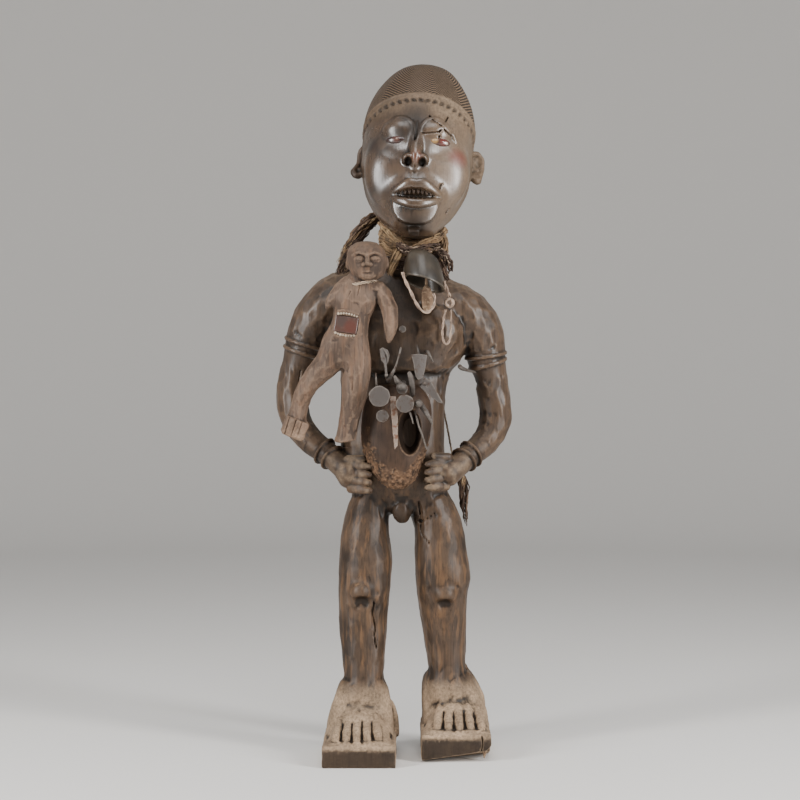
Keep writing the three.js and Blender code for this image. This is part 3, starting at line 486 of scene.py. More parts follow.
LEVEL = (0, 0, 1)  # the face direction of limbs that run sideways
IN_HEAD = (HEAD_AT, HEAD_TURN)
BROW_ARCS = {
    -1: [(-45, 5), (-40, 16), (-33, 22), (-24.5, 26), (-15, 23.5), (-9, 18), (-6.5, 11)],
    1: [(2, 12), (5.5, 19), (11, 24.5), (19, 26), (28, 22.5), (36, 15), (42.5, 6), (47, -4)],
}
EYELIDS = {-1: (-23.5, 12), 1: (20.5, 12)}
EYES = {-1: (-26.5, -1.5), 1: (25.5, -2)}
STAR_CRACKS = [
    [(26, 17), (18, 22), (11, 29)],
    [(26, 17), (30, 24), (33, 31)],
    [(26, 17), (24, 10), (12, 7), (4, 6)],
    [(26, 17), (31, 12), (38, 8)],
    [(24, 10), (24, 3)],
]
CHEEK_CRACKS = [[(30, -52), (28, -56), (27, -60)], [(40, -76), (36, -82)]]
LIP_CORNER = 31
NOTCH_ANGLES = 2 * math.pi * (np.arange(46) + 0.5) / 46


def cut_cap(wood):
    """The cap: a thicker dome above a cordon, and a notched band under it."""
    def above(drop):
        def keep(x, y, z):
            return (CAP["edge_at_ears"] - drop - CAP["fall"] * y - z) / math.hypot(1, CAP["fall"])
        return keep

    wood.column(HEAD_ROWS, at=HEAD_AT, turn=HEAD_TURN, grow=1.3, keep=above(CAP["band"]))
    wood.column(HEAD_ROWS, at=HEAD_AT, turn=HEAD_TURN, grow=CAP["thick"], keep=above(0))
    edge = [edge_point(2 * math.pi * i / 72, CAP["thick"] - 0.4, 0) for i in range(73)]
    rows = [(*p, CAP["cordon"], CAP["cordon"]) for p in edge]
    wood.limb(rows, face=LEVEL, soft=0.4, place=IN_HEAD)
    for angle in NOTCH_ANGLES:
        x, y, z = edge_point(angle, 1.6, CAP["band"] - 2.5)
        slant = 62 if math.cos(angle) > 0 else -62
        turn = HEAD_TURN @ turned(0, slant, math.degrees(angle) + 90)
        wood.egg(from_head((x, y, z)), (1.9, 3.2, 5.0), turn, soft=0.3, away=True)


def edge_point(angle, proud, drop):
    """A point of the head's surface at an angle round it, on the cap's sloping edge or below it."""
    table = np.array(HEAD_ROWS, float)
    x = y = z = 0.0
    for _ in range(8):
        z = CAP["edge_at_ears"] - drop - CAP["fall"] * y
        middle, wide, fore, aft = (np.interp(z, table[:, 0], table[:, k]) for k in (2, 3, 4, 5))
        deep = fore if math.sin(angle) < 0 else aft
        x = (wide + proud) * math.cos(angle)
        y = middle + (deep + proud) * math.sin(angle)
    return x, y, z


EAR_RIMS = {
    -1: [(-62, 2, 7, 3.2, 3.4), (-68, 5, 8, 3.0, 3.4), (-71.5, 9, 1, 2.8, 3.4), (-72, 9, -9, 2.8, 3.2),
         (-74.5, 4, -18, 3.2, 3.4), (-77, 0, -24.5, 3.8, 4.0), (-72, 0, -29, 3.6, 4.0),
         (-65, 0, -24, 3.4, 4.0)],
    1: [(66, 2, 6, 3.2, 3.5), (72, 5, 7.5, 3.2, 3.4), (77.5, 9, 1, 3.0, 3.4), (78, 9, -10, 3.0, 3.2),
        (76, 5, -20, 3.4, 3.4), (73, 0, -28, 4.6, 4.2), (67, 0, -24, 4.0, 4.0)],
}


def cut_ear(wood, s):
    """An ear, the right one for -1 and the left one for 1: a rim round a hollow, and a lobe."""
    middle = EAR_RIMS[s][3][0] - 6.5 * s
    wood.egg(from_head((middle, 9, -8)), (8, 5, 17), HEAD_TURN @ turned(0, 0, 20 * s), soft=2)
    wood.limb(EAR_RIMS[s], face=(0, 1, 0), soft=1.2, place=IN_HEAD)
    wood.egg(from_head((EAR_RIMS[s][-1][0] + 4 * s, 4, -22)), (7, 4, 6), HEAD_TURN, soft=2)
    wood.egg(from_head((middle + 2.5 * s, 1, -6)), (4.2, 6, 9.5), HEAD_TURN, soft=1.5, away=True)


def cut_crack(wood, places, sunk):
    """A crack through x, z places of the front, sunk by as much as its edges are rounded."""
    rows = [(x, wood.front(x, z) + sunk, z, 0.9, 2.6) for x, z in places]
    wood.limb(rows, soft=sunk, away=True, step=2)


def cut_face(wood):
    """Brows, eyes, nose, lips and chin plate, each from its place on the head's plain form."""
    def egg(at, radii, turn=NO_TURN, **options):
        wood.egg(from_head(at), radii, HEAD_TURN @ turn, **options)

    for s in (-1, 1):
        x, z = EYES[s]
        front = face_front(x, z)
        egg((36 * s, -41, -33), (26, 19, 36), soft=14)
        lid_x, lid_z = EYELIDS[s]
        egg((lid_x, face_front(lid_x, lid_z) + 5.4, lid_z), (19.5, 9.5, 14.5), turned(0, 0, 16 * s), soft=2.5)
        egg((x + 2 * s, front - 2.8, z - 12), (18, 3.6, 9.5), turned(0, 0, 18 * s), soft=4, away=True)
        brow = on_face(BROW_ARCS[s], 1.5, 1.4, 2.2)
        brow = [(*brow[0][:3], 0.5, 0.6)] + brow[1:-1] + [(*brow[-1][:3], 0.5, 0.6)]
        wood.limb(brow, face=LEVEL, soft=0.8, place=IN_HEAD)
        wide = 1.6 if s > 0 else 1.1
        slit = [(x - 12.5 * s, z - 0.4), (x - 5 * s, z + 0.8), (x + 4 * s, z + 0.4), (x + 12 * s, z - 2)]
        halves = (0.6, wide, wide, 0.6)
        rows = [(px, face_front(px, pz) - 3.6, pz, half, 3.4) for (px, pz), half in zip(slit, halves)]
        wood.limb(rows, face=LEVEL, soft=0.5, away=True, step=2.0, place=IN_HEAD)
    nose_x = -2.7
    bridge = [
        (nose_x, -66, 17, 4, 4),
        (nose_x, -69, -2, 6, 6),
        (nose_x, -72.5, -14, 6.8, 7.2),
        (nose_x, -76, -23, 6, 7),
        (nose_x, -75, -30, 4, 6),
        (nose_x, -70, -36, 3, 3.5),
    ]
    wood.limb(bridge, soft=6, place=IN_HEAD)
    for s in (-1, 1):
        egg((nose_x + 8.4 * s, -71.5, -27.5), (6.8, 9.5, 7.6), soft=2.5)
        egg((nose_x + 8.5 * s, -80, -30.5), (4.7, 12, 4.7), turned(-12, 0, 0), soft=0.5, away=True)
        egg((nose_x + 2.6 * s, -68, -45.5), (1.4, 4, 7), soft=1.5)
    crease = [(-2.6, 20), (-2.8, 12), (-3.4, 4), (-4.2, -5), (-5.4, -12)]
    wood.limb(on_face(crease, 2.0, 1.3, 2.0), soft=3, away=True, place=IN_HEAD)
    egg((0, -55, -66), (33, 18, 26), soft=9)
    half_moon = [(-28, 12), (-27.5, 5), (-25, -3), (-20, -10), (-12, -14.5), (0, -16), (12, -14.5), (20, -10),
                 (25, -3), (27.5, 5), (28, 12)]
    wood.plate(half_moon, 18, from_head((0, -63.6, -87.5)), HEAD_TURN @ turned(7, 0, 0), 1.2, soft=0.4,
               bend=0.0085)
    upper = [
        (-LIP_CORNER, -60, -69.4, 2.0, 1.2),
        (-23, -67, -64.8, 5.0, 3.3),
        (-13.5, -72, -60.2, 6.4, 5.0),
        (-6, -74.6, -57.6, 6.8, 6.2),
        (0, -75.2, -58.6, 6.8, 5.2),
        (6, -74.6, -57.6, 6.8, 6.2),
        (13.5, -72, -60.2, 6.4, 5.0),
        (23, -67, -64.8, 5.0, 3.3),
        (LIP_CORNER, -60, -69.4, 2.0, 1.2),
    ]
    lower = [
        (-LIP_CORNER, -60, -70.8, 2.0, 1.2),
        (-21, -68, -76.6, 5.0, 3.6),
        (-8.5, -73.5, -80.6, 6.2, 5.0),
        (0, -74.6, -81.6, 6.4, 5.2),
        (8.5, -73.5, -80.6, 6.2, 5.0),
        (21, -68, -76.6, 5.0, 3.6),
        (LIP_CORNER, -60, -70.8, 2.0, 1.2),
    ]
    egg((0, -74, -69.6), (26, 14, 6.2), soft=1, away=True)
    for lip in (upper, lower):
        wood.limb(lip, face=LEVEL, soft=0.4, step=2.0, power=3.2, place=IN_HEAD)
    egg((0, -75, -69.5), (24, 12, 5), soft=0.8, away=True)
    for x in (-3.2, 3.2):
        wood.bar(from_head((x, -54.5, -108)), (6.2, 9, 12), HEAD_TURN @ turned(-34, 0, 0), 1.2, soft=0.6)
    for crack in STAR_CRACKS + CHEEK_CRACKS:
        seen = [from_head((x, face_front(x, z), z)) for x, z in crack]
        cut_crack(wood, [(x, z) for x, _, z in seen], 0.5)


def cut_hand(wood, side, palm_x, tip_x, top_z):
    """A hand laid flat on the belly, four level fingers that point inwards, and a short thumb."""
    wood.egg(((palm_x - 1) * side, -32, top_z - 12), (13, 12, 16), turned(0, -20 * side, 0), soft=4)
    for i in range(4):
        z = top_z - 9.4 * i
        middle_x = palm_x + (tip_x - palm_x) * 0.6
        finger = [
            ((palm_x - 2) * side, -36, z, 4.2, 5.6),
            (middle_x * side, -44.5, z - 1, 4.6, 5.0),
            (tip_x * side, -48.5, z - 2, 3.2, 3.4),
        ]
        wood.limb(finger, face=LEVEL, soft=0.6, step=2.0, power=2.5)
        nail = (tip_x * side, -51.6, z - 2)
        wood.egg(nail, (3.0, 1.2, 2.2), soft=0.3)
        knuckle = [((middle_x + 1) * side, -49.8, z + up, 0.6, 1.2) for up in (-4, 2)]
        wood.limb(knuckle, soft=0.4, away=True)
    thumb = [(palm_x * side, -36, top_z + 6, 5.5, 5.5), ((tip_x + 8) * side, -45, top_z + 8, 4, 4)]
    wood.limb(thumb, face=LEVEL, soft=1.0)


def cut_foot(wood, block, ankle):
    """A foot on its block: instep, ankle bones, five toes with nails, and a strut left at its side."""
    middle = (block["x0"] + block["x1"]) / 2
    front, top = block["y0"], block["high"]
    size = (block["x1"] - block["x0"], block["y1"] - front, top)
    wood.bar((middle, (front + block["y1"]) / 2, top / 2), size, rounding=1.5, soft=0)
    sections = [(118, 17, 12), (104, 24, 34), (84, 27, 44), (66, 31, 39), (50, 34, 28), (34, 37, 18),
                (20, 37, 11), (8, 36, 6)]  # how far back, half width, half height
    instep = []
    for back, wide, high in sections:
        share = 1.0 if back < 50 else min((118 - back) / 68, 1.0)
        instep.append((ankle + (middle - ankle) * share, front + back, top - 2, wide, high))
    wood.limb(instep, face=LEVEL, soft=5, step=6, power=2.6)
    flanks = [
        (top - 4, middle, front + 76, 41, 40, 38),
        (top + 14, middle, front + 78, 40, 32, 34),
        (top + 34, (middle + ankle) / 2, front + 81, 36.5, 29, 31),
        (top + 52, ankle, front + 83, 31.5, 27, 29),
        (top + 64, ankle, front + 83, 27, 25, 27),
    ]
    wood.column(flanks, power=2.5, soft=5, ends=5)
    backs, highs = [row[0] for row in sections][::-1], [row[2] - 2 for row in sections][::-1]
    for i in range(9):
        x = block["toes"] + block["toe"] * (i / 2 - 2)
        longer = 2.0 * abs(i / 2 - 1.6)
        arch = math.sqrt(max(1 - ((x - middle) / 44) ** 2, 0.1))
        ridge = []
        for back, half in ((44, 4.2), (32, 5.2), (20, 5.4), (9, 4.6)):
            spread = 1 - 0.004 * back
            high = top + np.interp(back + longer, backs, highs) * arch
            ridge.append((middle + (x - middle) * spread, front + back + longer, high, half, 2.6))
        if i % 2:
            groove = [(*row[:2], row[2] + 6.6, 1.3, 3.3) for row in ridge[1:]]
            groove.append((x, front + 2, top + 6, 1.8, 4.2))
            wood.limb(groove, face=LEVEL, soft=3, away=True, step=3)
        else:
            wood.limb([(*row[:2], row[2] + 2.5, row[3], 6.2) for row in ridge], face=LEVEL, soft=1.5, step=3)
            x, y, z = ridge[-1][:3]
            wood.egg((x, y - 2, z + 6.6), (3.2, 3.4, 1.8), turned(-24, 0, 0), soft=0.3)
            nail = [(x - 3.6, y + 0.8, z + 7, 0.6, 1.6), (x, y + 2.4, z + 8.6, 0.7, 1.8),
                    (x + 3.6, y + 0.8, z + 7, 0.6, 1.6)]
            wood.limb(nail, face=LEVEL, soft=0.3, away=True, step=1.5)
    for s in (-1, 1):
        wood.egg((ankle + 23 * s, front + 96, top + 43), (6, 9, 8), soft=5)
    wood.limb(block["strut"], soft=2, power=2.6)
    wood.egg(block["hole"], (3.2, 30, 6.5), soft=0.8, away=True)


def cut_figure():
    """The whole figure out of one log."""
    heights = steps(-3, (36, 1.8), (72, 1.9), (185, 3.0), (222, 1.8), (315, 2.9), (368, 1.5),
                    (470, 2.7), (500, 1.7), (592, 2.7), (608, 2.0), (842, 1.25))
    wood = Wood(np.arange(-157, 141, 1.35), np.arange(-110, 88, 1.35), heights)
    wood.column(TORSO_ROWS, power=2.3)
    wood.column(CHEST_ROWS, power=2.2, soft=2.5)
    for s in (-1, 1):
        wood.egg((40 * s, -36, 512), (30, 15, 27), soft=10)
        wood.egg((38 * s, 41, 520), (27, 11, 32), soft=10)
        wood.egg((27 * s, 26, 314), (30, 30, 31), soft=9)
    spine = [(-6, 46, 352), (-8, 46, 400), (-6, 47, 450), (-1, 53, 500), (2, 52, 548)]
    wood.limb([(*p, 4, 3.5) for p in spine], soft=7, away=True, step=8)
    for rows in (ARM_LEFT, ARM_RIGHT):
        wood.limb(rows, soft=5, step=5)
        for at, (proud, thick) in BANDS.items():
            wood.band(rows, at, proud, thick)
    for rows in (LEG_LEFT, LEG_RIGHT):
        wood.column(rows, power=2.2, soft=5, ends=8)
    for x, y, z in KNEECAPS:
        wood.egg((x, y + 2, z + 1), (13.5, 11.5, 12), turned(-14, 0, 0), soft=3.5)
        wood.egg((x, y - 7, z - 14), (15, 10, 9.5), soft=0.8, away=True)
    wood.egg((2, -20, 297), (12, 15, 17), soft=3)
    cut_hand(wood, 1, 58, 32, 354)
    cut_hand(wood, -1, 62, 36, 351)
    cut_foot(wood, BLOCK_LEFT, 59)
    cut_foot(wood, BLOCK_RIGHT, -45)
    for crack in CRACKS:
        cut_crack(wood, crack, 0.8)
    corner = (BLOCK_LEFT["x1"], BLOCK_LEFT["y0"], -100)
    wood.bar(corner, (260, 72, 200 + BLOCK_LEFT["worn"]), turned(-14, -8, 0), rounding=3, soft=2, away=True)
    wood.bar((111, BLOCK_LEFT["y0"] + 4, 8), (34, 36, 20), turned(0, -50, 0), rounding=4, soft=2, away=True)
    wood.column(HEAD_ROWS, at=HEAD_AT, turn=HEAD_TURN, soft=3, ends=9)
    cut_cap(wood)
    for s in (-1, 1):
        cut_ear(wood, s)
    cut_face(wood)
    return wood


SMALL_ROWS = {
    "torso": [
        (-66.7, -70, 480, 30, 16),
        (-65, -70, 492, 28, 17),
        (-60.5, -70, 511, 22.5, 17),
        (-57, -70, 530, 22, 16),
        (-53.2, -71, 549, 26, 16),
        (-48, -71, 562, 21, 13),
        (-43, -71, 572, 13.5, 11.5),
        (-41, -71, 584, 13, 12),
    ],
    "head": [
        (569, -38, -78, 8, 8, 9),
        (573, -38, -75, 15, 15, 12),
        (580, -38.5, -73, 20.5, 20, 18),
        (594, -39, -72, 23.3, 22, 23),
        (606, -40, -72, 20.5, 20, 22),
        (614, -40, -71, 13, 13, 15),
        (617, -40, -71, 5, 5, 6),
    ],
    "right leg": [
        (-76, -70, 487, 15, 15),
        (-84, -70, 474, 16, 15),
        (-99, -67, 458, 13.5, 13.5),
        (-110, -63, 444, 11.5, 12),
        (-118, -57, 426, 10.5, 11),
        (-124, -54, 398, 10.5, 10.5),
    ],
    "left leg": [
        (-53, -70, 488, 16, 15),
        (-51, -71, 470, 17, 15.5),
        (-54, -71, 435, 14.5, 14),
        (-58, -68, 415, 12.5, 12.5),
        (-62.5, -66, 392, 11.5, 11.5),
        (-64.5, -66, 380, 12.5, 12.5),
    ],
    "left arm": [
        (-38, -71, 560, 9, 9),
        (-26, -72, 559, 10, 9.5),
        (-17, -74, 547, 9.5, 9),
        (-12, -76, 532, 9.5, 9),
        (-11, -78, 513, 7.5, 7.5),
        (-13, -79, 498, 2.5, 3),
    ],
    "right arm": [
        (-62, -71, 560, 9, 9),
        (-72, -72, 556, 8.5, 8.5),
        (-80, -73, 547, 6, 7),
        (-86, -74, 538, 2.2, 3),
    ],
}
SMALL_CRACKS = [  # the form that has split, and x, z along the crack
    ("torso", [(-47, 566), (-50, 551)]),
    ("torso", [(-58, 556), (-62, 548)]),
    ("left leg", [(-70, 452), (-60, 470)]),
    ("left leg", [(-56, 440), (-55, 470)]),
]


def window_arcs(out, rise, across):
    """Curves below and above the window in the small figure's belly, that far out and up from it."""
    lean = turned(0, WINDOW["lean"], 0)
    middle = np.array(WINDOW["at"]) + [0, -out, 0]
    return [[middle + lean @ [a, 0, up * (rise - 0.014 * a * a)] for a in across] for up in (-1, 1)]


def cut_small_figure():
    """The small figure that hangs on the big one's chest, cut out of a paler wood."""
    wood = Wood(np.arange(-148, 4, 1.15), np.arange(-106, -40, 1.15), np.arange(372, 624, 1.15))
    rows = SMALL_ROWS
    wood.limb(rows["torso"], power=2.3)
    for side in ("right leg", "left leg", "left arm", "right arm"):
        wood.limb(rows[side], soft=4)
    wood.column(rows["head"], soft=3)
    for x, y in ((-64, -80), (-43, -81)):
        wood.egg((x, y, 545), (8.5, 6, 8), soft=2)
    wood.egg((-71, -76, 475), (5.5, 9, 9), soft=2)
    wood.bar((-125, -57, 396), (27, 24, 22), turned(6, 22, 8), rounding=2.5, soft=2)
    for across in (-8, -1, 6):
        gap = (-124.5 + across, -69.5, 397 - 0.4 * across)
        wood.bar(gap, (1.4, 7, 26), turned(0, 18, 0), 0.5, 0.5, away=True)
    wood.bar((-64.5, -66, 376), (30, 30, 9), turned(8, -6, 0), rounding=0.6, soft=0.5, away=True)
    x, y = -38.5, -72
    for s in (-1, 1):
        wood.egg((x + 9.5 * s, y - 20, 594), (7.5, 4.5, 5.5), turned(0, 0, 12 * s), soft=2, away=True)
        wood.egg((x + 9 * s, y - 17, 593), (7, 4, 4.6), turned(0, 0, 12 * s), soft=1)
        slit = [(x + 3 * s, y - 20.5, 592, 0.5, 1.0), (x + 9 * s, y - 20.8, 591.6, 0.6, 1.0),
                (x + 15 * s, y - 18, 592.4, 0.5, 1.0)]
        wood.limb(slit, face=LEVEL, soft=0.4, step=2, away=True)
        brow = [(x + 3 * s, y - 20.8, 599, 1.4, 1.4), (x + 10 * s, y - 20, 601, 1.4, 1.4),
                (x + 17 * s, y - 14, 598, 1.2, 1.2)]
        wood.limb(brow, face=LEVEL, soft=1.5, step=2)
        wood.egg((x + 4.2 * s, y - 22.5, 587), (2.6, 2.6, 2.4), soft=1)
        wood.egg((x + 22.5 * s, y + 4, 590), (2.6, 5, 7), turned(0, 0, 14 * s), soft=1)
    wood.limb([(x, y - 20, 600, 2, 2), (x + 0.5, y - 23.5, 588, 3, 3.2)], soft=1.5)
    wood.egg((x, y - 15, 576), (10, 6, 7), soft=2)
    for height, out in ((579, 20.2), (574.6, 19.4)):
        lip = [(x - 6.5, y - out + 2.5, height - 0.6, 1, 1), (x, y - out, height, 1.6, 1.6),
               (x + 6.5, y - out + 2.5, height - 0.6, 1, 1)]
        wood.limb(lip, face=LEVEL, soft=0.8, step=2)
    wood.limb([(x - 6, y - 20, 576.8, 0.6, 1.4), (x + 6, y - 20, 576.8, 0.6, 1.4)], face=LEVEL, away=True)
    lean = turned(0, WINDOW["lean"], 0)
    wood.bar(WINDOW["at"], (WINDOW["wide"], WINDOW["deep"], WINDOW["high"]), lean, 1.5, 0.4, away=True)
    for arc in window_arcs(0.4, 16, (-12, -5, 5, 12)):
        wood.limb([(*p, 1.3, 2.2) for p in arc], face=LEVEL, soft=0.8, step=2)
    for form, places in SMALL_CRACKS:
        crack = [(px, row_out(rows[form], pz), pz, 0.7, 2) for px, pz in places]
        wood.limb(crack, soft=0.4, away=True)
    return wood


def row_out(rows, z):
    """How far out the front of a small limb lies at a height."""
    table = np.array(sorted(rows, key=lambda row: row[2]), float)
    return np.interp(z, table[:, 2], table[:, 1] - table[:, 4])


# Surfaces as numbers: unevenness, adze cuts, what handling, smoke and dust leave, and painted shade.
def lumps(points, size, seed=0):
    """Smooth random unevenness, from -1 to 1, of a size in millimetres, at points in millimetres."""
    places = np.asarray(points, float) / size
    cell = np.floor(places).astype(np.int64)
    t = places - cell
    t = t * t * (3 - 2 * t)
    total = np.zeros(len(places))
    for corner in np.ndindex(2, 2, 2):
        x, y, z = (cell + corner).T
        code = (x * 73856093 ^ y * 19349663 ^ z * 83492791 ^ (seed + 7) * 2654435761) & 0xFFFFFFFF
        code = ((code ^ (code >> 13)) * 1274126177) & 0xFFFFFFFF
        value = ((code ^ (code >> 16)) & 0xFFFF) / 32767.5 - 1
        total += value * np.prod(np.where(corner, t, 1 - t), axis=1)
    return total


def normals_of(points, faces):
    """The surface's outward direction at each point."""
    a, b, c, d = (points[faces[:, k]] for k in range(4))
    across = np.cross(c - a, d - b)
    total = np.zeros_like(points)
    for k in range(4):
        for axis in range(3):
            total[:, axis] += np.bincount(faces[:, k], across[:, axis], len(points))
    return total / np.maximum(np.linalg.norm(total, axis=1), 1e-9)[:, None]


def smoothed(values, faces, times):
    """Values of points, or their places, evened out over their neighbours."""
    ends = np.concatenate([faces[:, [k, (k + 1) % 4]] for k in range(4)])
    count = np.bincount(ends[:, 0], minlength=len(values)) + 1.0
    columns = values.reshape(len(values), -1).astype(float)
    for _ in range(times):
        columns = np.stack([(column + np.bincount(ends[:, 0], column[ends[:, 1]], len(column))) / count
                            for column in columns.T], 1)
    return columns.reshape(values.shape)


def adze_cuts(points, faces, wide, high, seed):
    """How far each point moves so that the surface falls into flat cuts, and a number for its cut."""
    normals = normals_of(points, faces)
    stretch = np.array([1, 1, wide / high])
    order = np.random.default_rng(seed).permutation(len(points))
    boxes = np.floor(points[order] * stretch / wide).astype(int)
    _, first = np.unique(boxes, axis=0, return_index=True)
    chosen = order[first]
    tree = kdtree.KDTree(len(chosen))
    for number, place in enumerate(points[chosen] * stretch):
        tree.insert(place, number)
    tree.balance()
    nearest = np.array([tree.find(place)[1] for place in points * stretch])
    middle, facing = points[chosen][nearest], smoothed(normals, faces, 3)[chosen][nearest]
    facing /= np.linalg.norm(facing, axis=1)[:, None]
    away = middle - points
    alike = (facing * normals).sum(1)
    move = (away * facing).sum(1) / np.maximum(alike, 0.5)
    hollow = 0.3 * np.exp(-(away * away).sum(1) / (0.35 * wide) ** 2)
    move = 1.1 * np.tanh((move - hollow) / 1.1) * np.clip((alike - 0.3) / 0.4, 0, 1)
    return smoothed(move, faces, 1), np.random.default_rng(seed + 1).random(len(chosen))[nearest]


def near(points, place, radius):
    """1 at a place and 0 beyond a radius from it, in millimetres."""
    far = np.linalg.norm(points - np.asarray(place, float), axis=1) / radius
    return np.clip(1 - far, 0, 1) ** 0.7


def ease(values, low, high):
    """0 below low and 1 above high, with a smooth step between them."""
    t = np.clip((values - low) / (high - low), 0, 1)
    return t * t * (3 - 2 * t)


def made_mesh(name, points, faces, marks=None):
    """A mesh piece from points in the carver's measures, with numbers of its points for its finish."""
    mesh = bpy.data.meshes.new(name)
    mesh.from_pydata(metres(points), [], faces.tolist() if isinstance(faces, np.ndarray) else faces)
    for mark, values in (marks or {}).items():
        mesh.attributes.new(mark, "FLOAT", "POINT").data.foreach_set("value", np.asarray(values, np.float32))
    mesh.shade_smooth()
    piece = bpy.data.objects.new(name, mesh)
    bpy.context.scene.collection.objects.link(piece)
    return piece


def applied(piece):
    """The piece with its modifiers made into plain mesh."""
    ready = piece.evaluated_get(bpy.context.evaluated_depsgraph_get())
    mesh = bpy.data.meshes.new_from_object(ready)
    piece.modifiers.clear()
    piece.data = mesh
    return piece


def dressed(piece, finish, slot, *nodes):
    """A finished piece that stands for CAD nodes."""
    if finish is not None:
        piece.data.materials.clear()
        piece.data.materials.append(finish)
    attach(piece, "root")
    if nodes:
        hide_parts(*nodes)
    return piece


def wear_and_shade_marks(points, faces, normals):
    """Where the surface lies in a hollow or stands on an edge, narrow and wide."""
    fine = ((smoothed(points, faces, 4) - points) * normals).sum(1)
    broad = ((smoothed(points, faces, 30) - points) * normals).sum(1)
    # The hollow mark is painted shade, which darkens the wood in its hollows; the worn mark pales its edges
    # as wear.
    return {"hollow": ease(fine, 0.02, 0.3) * 0.6 + ease(broad, 0.1, 1.6) * 0.6,
            "worn": ease(-fine, 0.015, 0.16) * 0.7 + ease(-broad, 0.05, 0.9) * 0.4}


def carve_figure():
    """The figure's points and faces with their adze cuts, and what its finish reads of each point."""
    wood = cut_figure()
    points, faces = wood.surface()
    normals = normals_of(points, faces)
    move, cut_number = adze_cuts(points, faces, 11, 17, 3)
    local = (points - HEAD_AT) @ HEAD_TURN
    # Where a point lies, from 0 to 1: head, face, cap, feet, hands.
    in_head = ease(local[:, 2], -118, -100) * (points[:, 2] > 600)
    front = ease(-local[:, 1], 5, 30) * in_head
    cap = ease(local[:, 2] + CAP["fall"] * local[:, 1] - CAP["edge_at_ears"], 0.5, 2.0) * in_head
    low = 1 - ease(points[:, 2], 68, 96)
    hands = ease(-points[:, 1], 26, 40) * ease(points[:, 2], 312, 322) * (1 - ease(points[:, 2], 372, 384))
    hands *= ease(np.abs(points[:, 0]), 24, 32)
    # The cuts fade on the bands, kneecaps, face, cap and hands, which are worked smooth.
    for rows in (ARM_LEFT, ARM_RIGHT):
        for at in (4.0, 10.05):
            move = move * (1 - 0.9 * (near(points, row_at(rows, [at])[0, :3], 31) > 0))
    for x, y, z in KNEECAPS:
        move = move * (1 - near(points, (x, y - 6, z), 22))
    move = move * (1 + 0.35 * ease(points[:, 2], 385, 420))
    share = (1 - 0.94 * front - 0.9 * cap * (1 - front) - 0.75 * hands
             - 0.5 * in_head * (1 - front) * (1 - cap))
    rough = lumps(points, 6, 1) * 0.26 + lumps(points, 2.8, 2) * 0.09
    move = move * np.clip(share * (1 - 0.55 * low), 0, 1) + rough * (0.06 + 0.9 * low) * (1 - front)
    points = points + normals * move[:, None]
    points[:, 2] = np.maximum(points[:, 2], 0)
    normals = normals_of(points, faces)
    marks = wear_and_shade_marks(points, faces, normals)
    legs = 1 - ease(points[:, 2], 300, 340)
    marks["worn"] *= 0.6 * (1 - 0.8 * in_head) * (1 - 0.8 * hands) * (1 - 0.3 * legs)
    angle = np.arctan2(local[:, 0], -local[:, 1])
    sector = math.radians(CAP["turns"])
    zigzag = np.abs(((angle + sector / 2) / sector) % 2 - 1)
    row_height = local[:, 2] + CAP["fall"] * local[:, 1]
    marks["weave"] = np.where(cap > 0, row_height + 30 * zigzag, 0)
    marks["cap"] = cap
    marks["cut"] = cut_number
    # Dust lies on the feet, the cap, whatever faces up and the hands; the blocks' fronts are kept free of it
    # and are darkened below by painted shade.
    block_top = np.where(points[:, 0] > 0, BLOCK_LEFT["high"], BLOCK_RIGHT["high"])
    below = ease(block_top - points[:, 2], 4, 7)
    marks["dust"] = low * (1 - 0.9 * marks["hollow"]) * (1 - 0.9 * below * ease(-normals[:, 1], 0.5, 0.85))
    marks["dust"] *= 0.9 + 0.35 * lumps(points, 12, 7)
    # The head is also made paler towards its left side, +X.
    marks["dust"] += 0.3 * in_head * ease(local[:, 0], -10, 45) + 0.2 * in_head * ease(local[:, 2], 22, 40)
    marks["dust"] += 0.3 * ease(normals[:, 2], 0.6, 0.95) * (1 - in_head) * (1 - low)
    marks["dust"] += 0.45 * hands * ease(lumps(points, 5, 8), -0.4, 0.5)
    marks["polish"] = front * (1 - cap) * ease(25 - local[:, 2], -4, 8)
    marks["polish"] += 0.25 * ease(points[:, 2], 400, 440) * (1 - in_head)
    marks["warm"] = ease(360 - points[:, 2], 0, 60) * (1 - low) + near(points, (51, -32, 64), 16)
    stain = near(local, (44, -50, -20), 16) + 0.4 * near(local, (-45, -44, -10), 12)
    stain += 0.4 * near(local, (-1, -80, -26), 9)
    marks["stain"] = np.clip(stain, 0, 1)
    # Soot and old oil lie at the right eye, and a little on the hands. The rest of this mark is painted
    # shade: between the brows and along the crease below them, in the nostrils and the notches of the cap's
    # band, under the chin, over the middle of the chest and belly, at the groin and on the lower fronts of
    # the blocks.
    soot_and_shade = (near(local, (-2, -66, 28), 24) + near(local, (-3, -66, 10), 13)
            + 0.8 * near(local, (-46, -42, -9), 17))
    soot_and_shade += (near(local, (0, -56, -104), 24) + 0.9 * near(points, (0, -36, 505), 62)
             + near(points, (2, -20, 290), 60))
    # Painted shade in the nostrils.
    for x in (-11.2, 5.8):
        soot_and_shade += 2 * near(local, (x, -73, -31), 7.5)
    # Painted shade along the crease between the brows.
    for x, z in ((-3, 20), (-3, 12), (-3.4, 4), (-4, -4), (-5, -11), (-8, -18)):
        soot_and_shade += 1.2 * near(local, (x, face_front(x, z), z), 6.5)
    # Painted shade under the chin, and soot on the hands.
    soot_and_shade += 1.5 * near(local, (0, -62, -110), 16) + 0.2 * hands
    # Painted shade in the notches of the cap's band.
    for notch in NOTCH_ANGLES[np.sin(NOTCH_ANGLES) < 0.3]:
        soot_and_shade += near(local, edge_point(notch, 1.0, CAP["band"] - 2.5), 4.2)
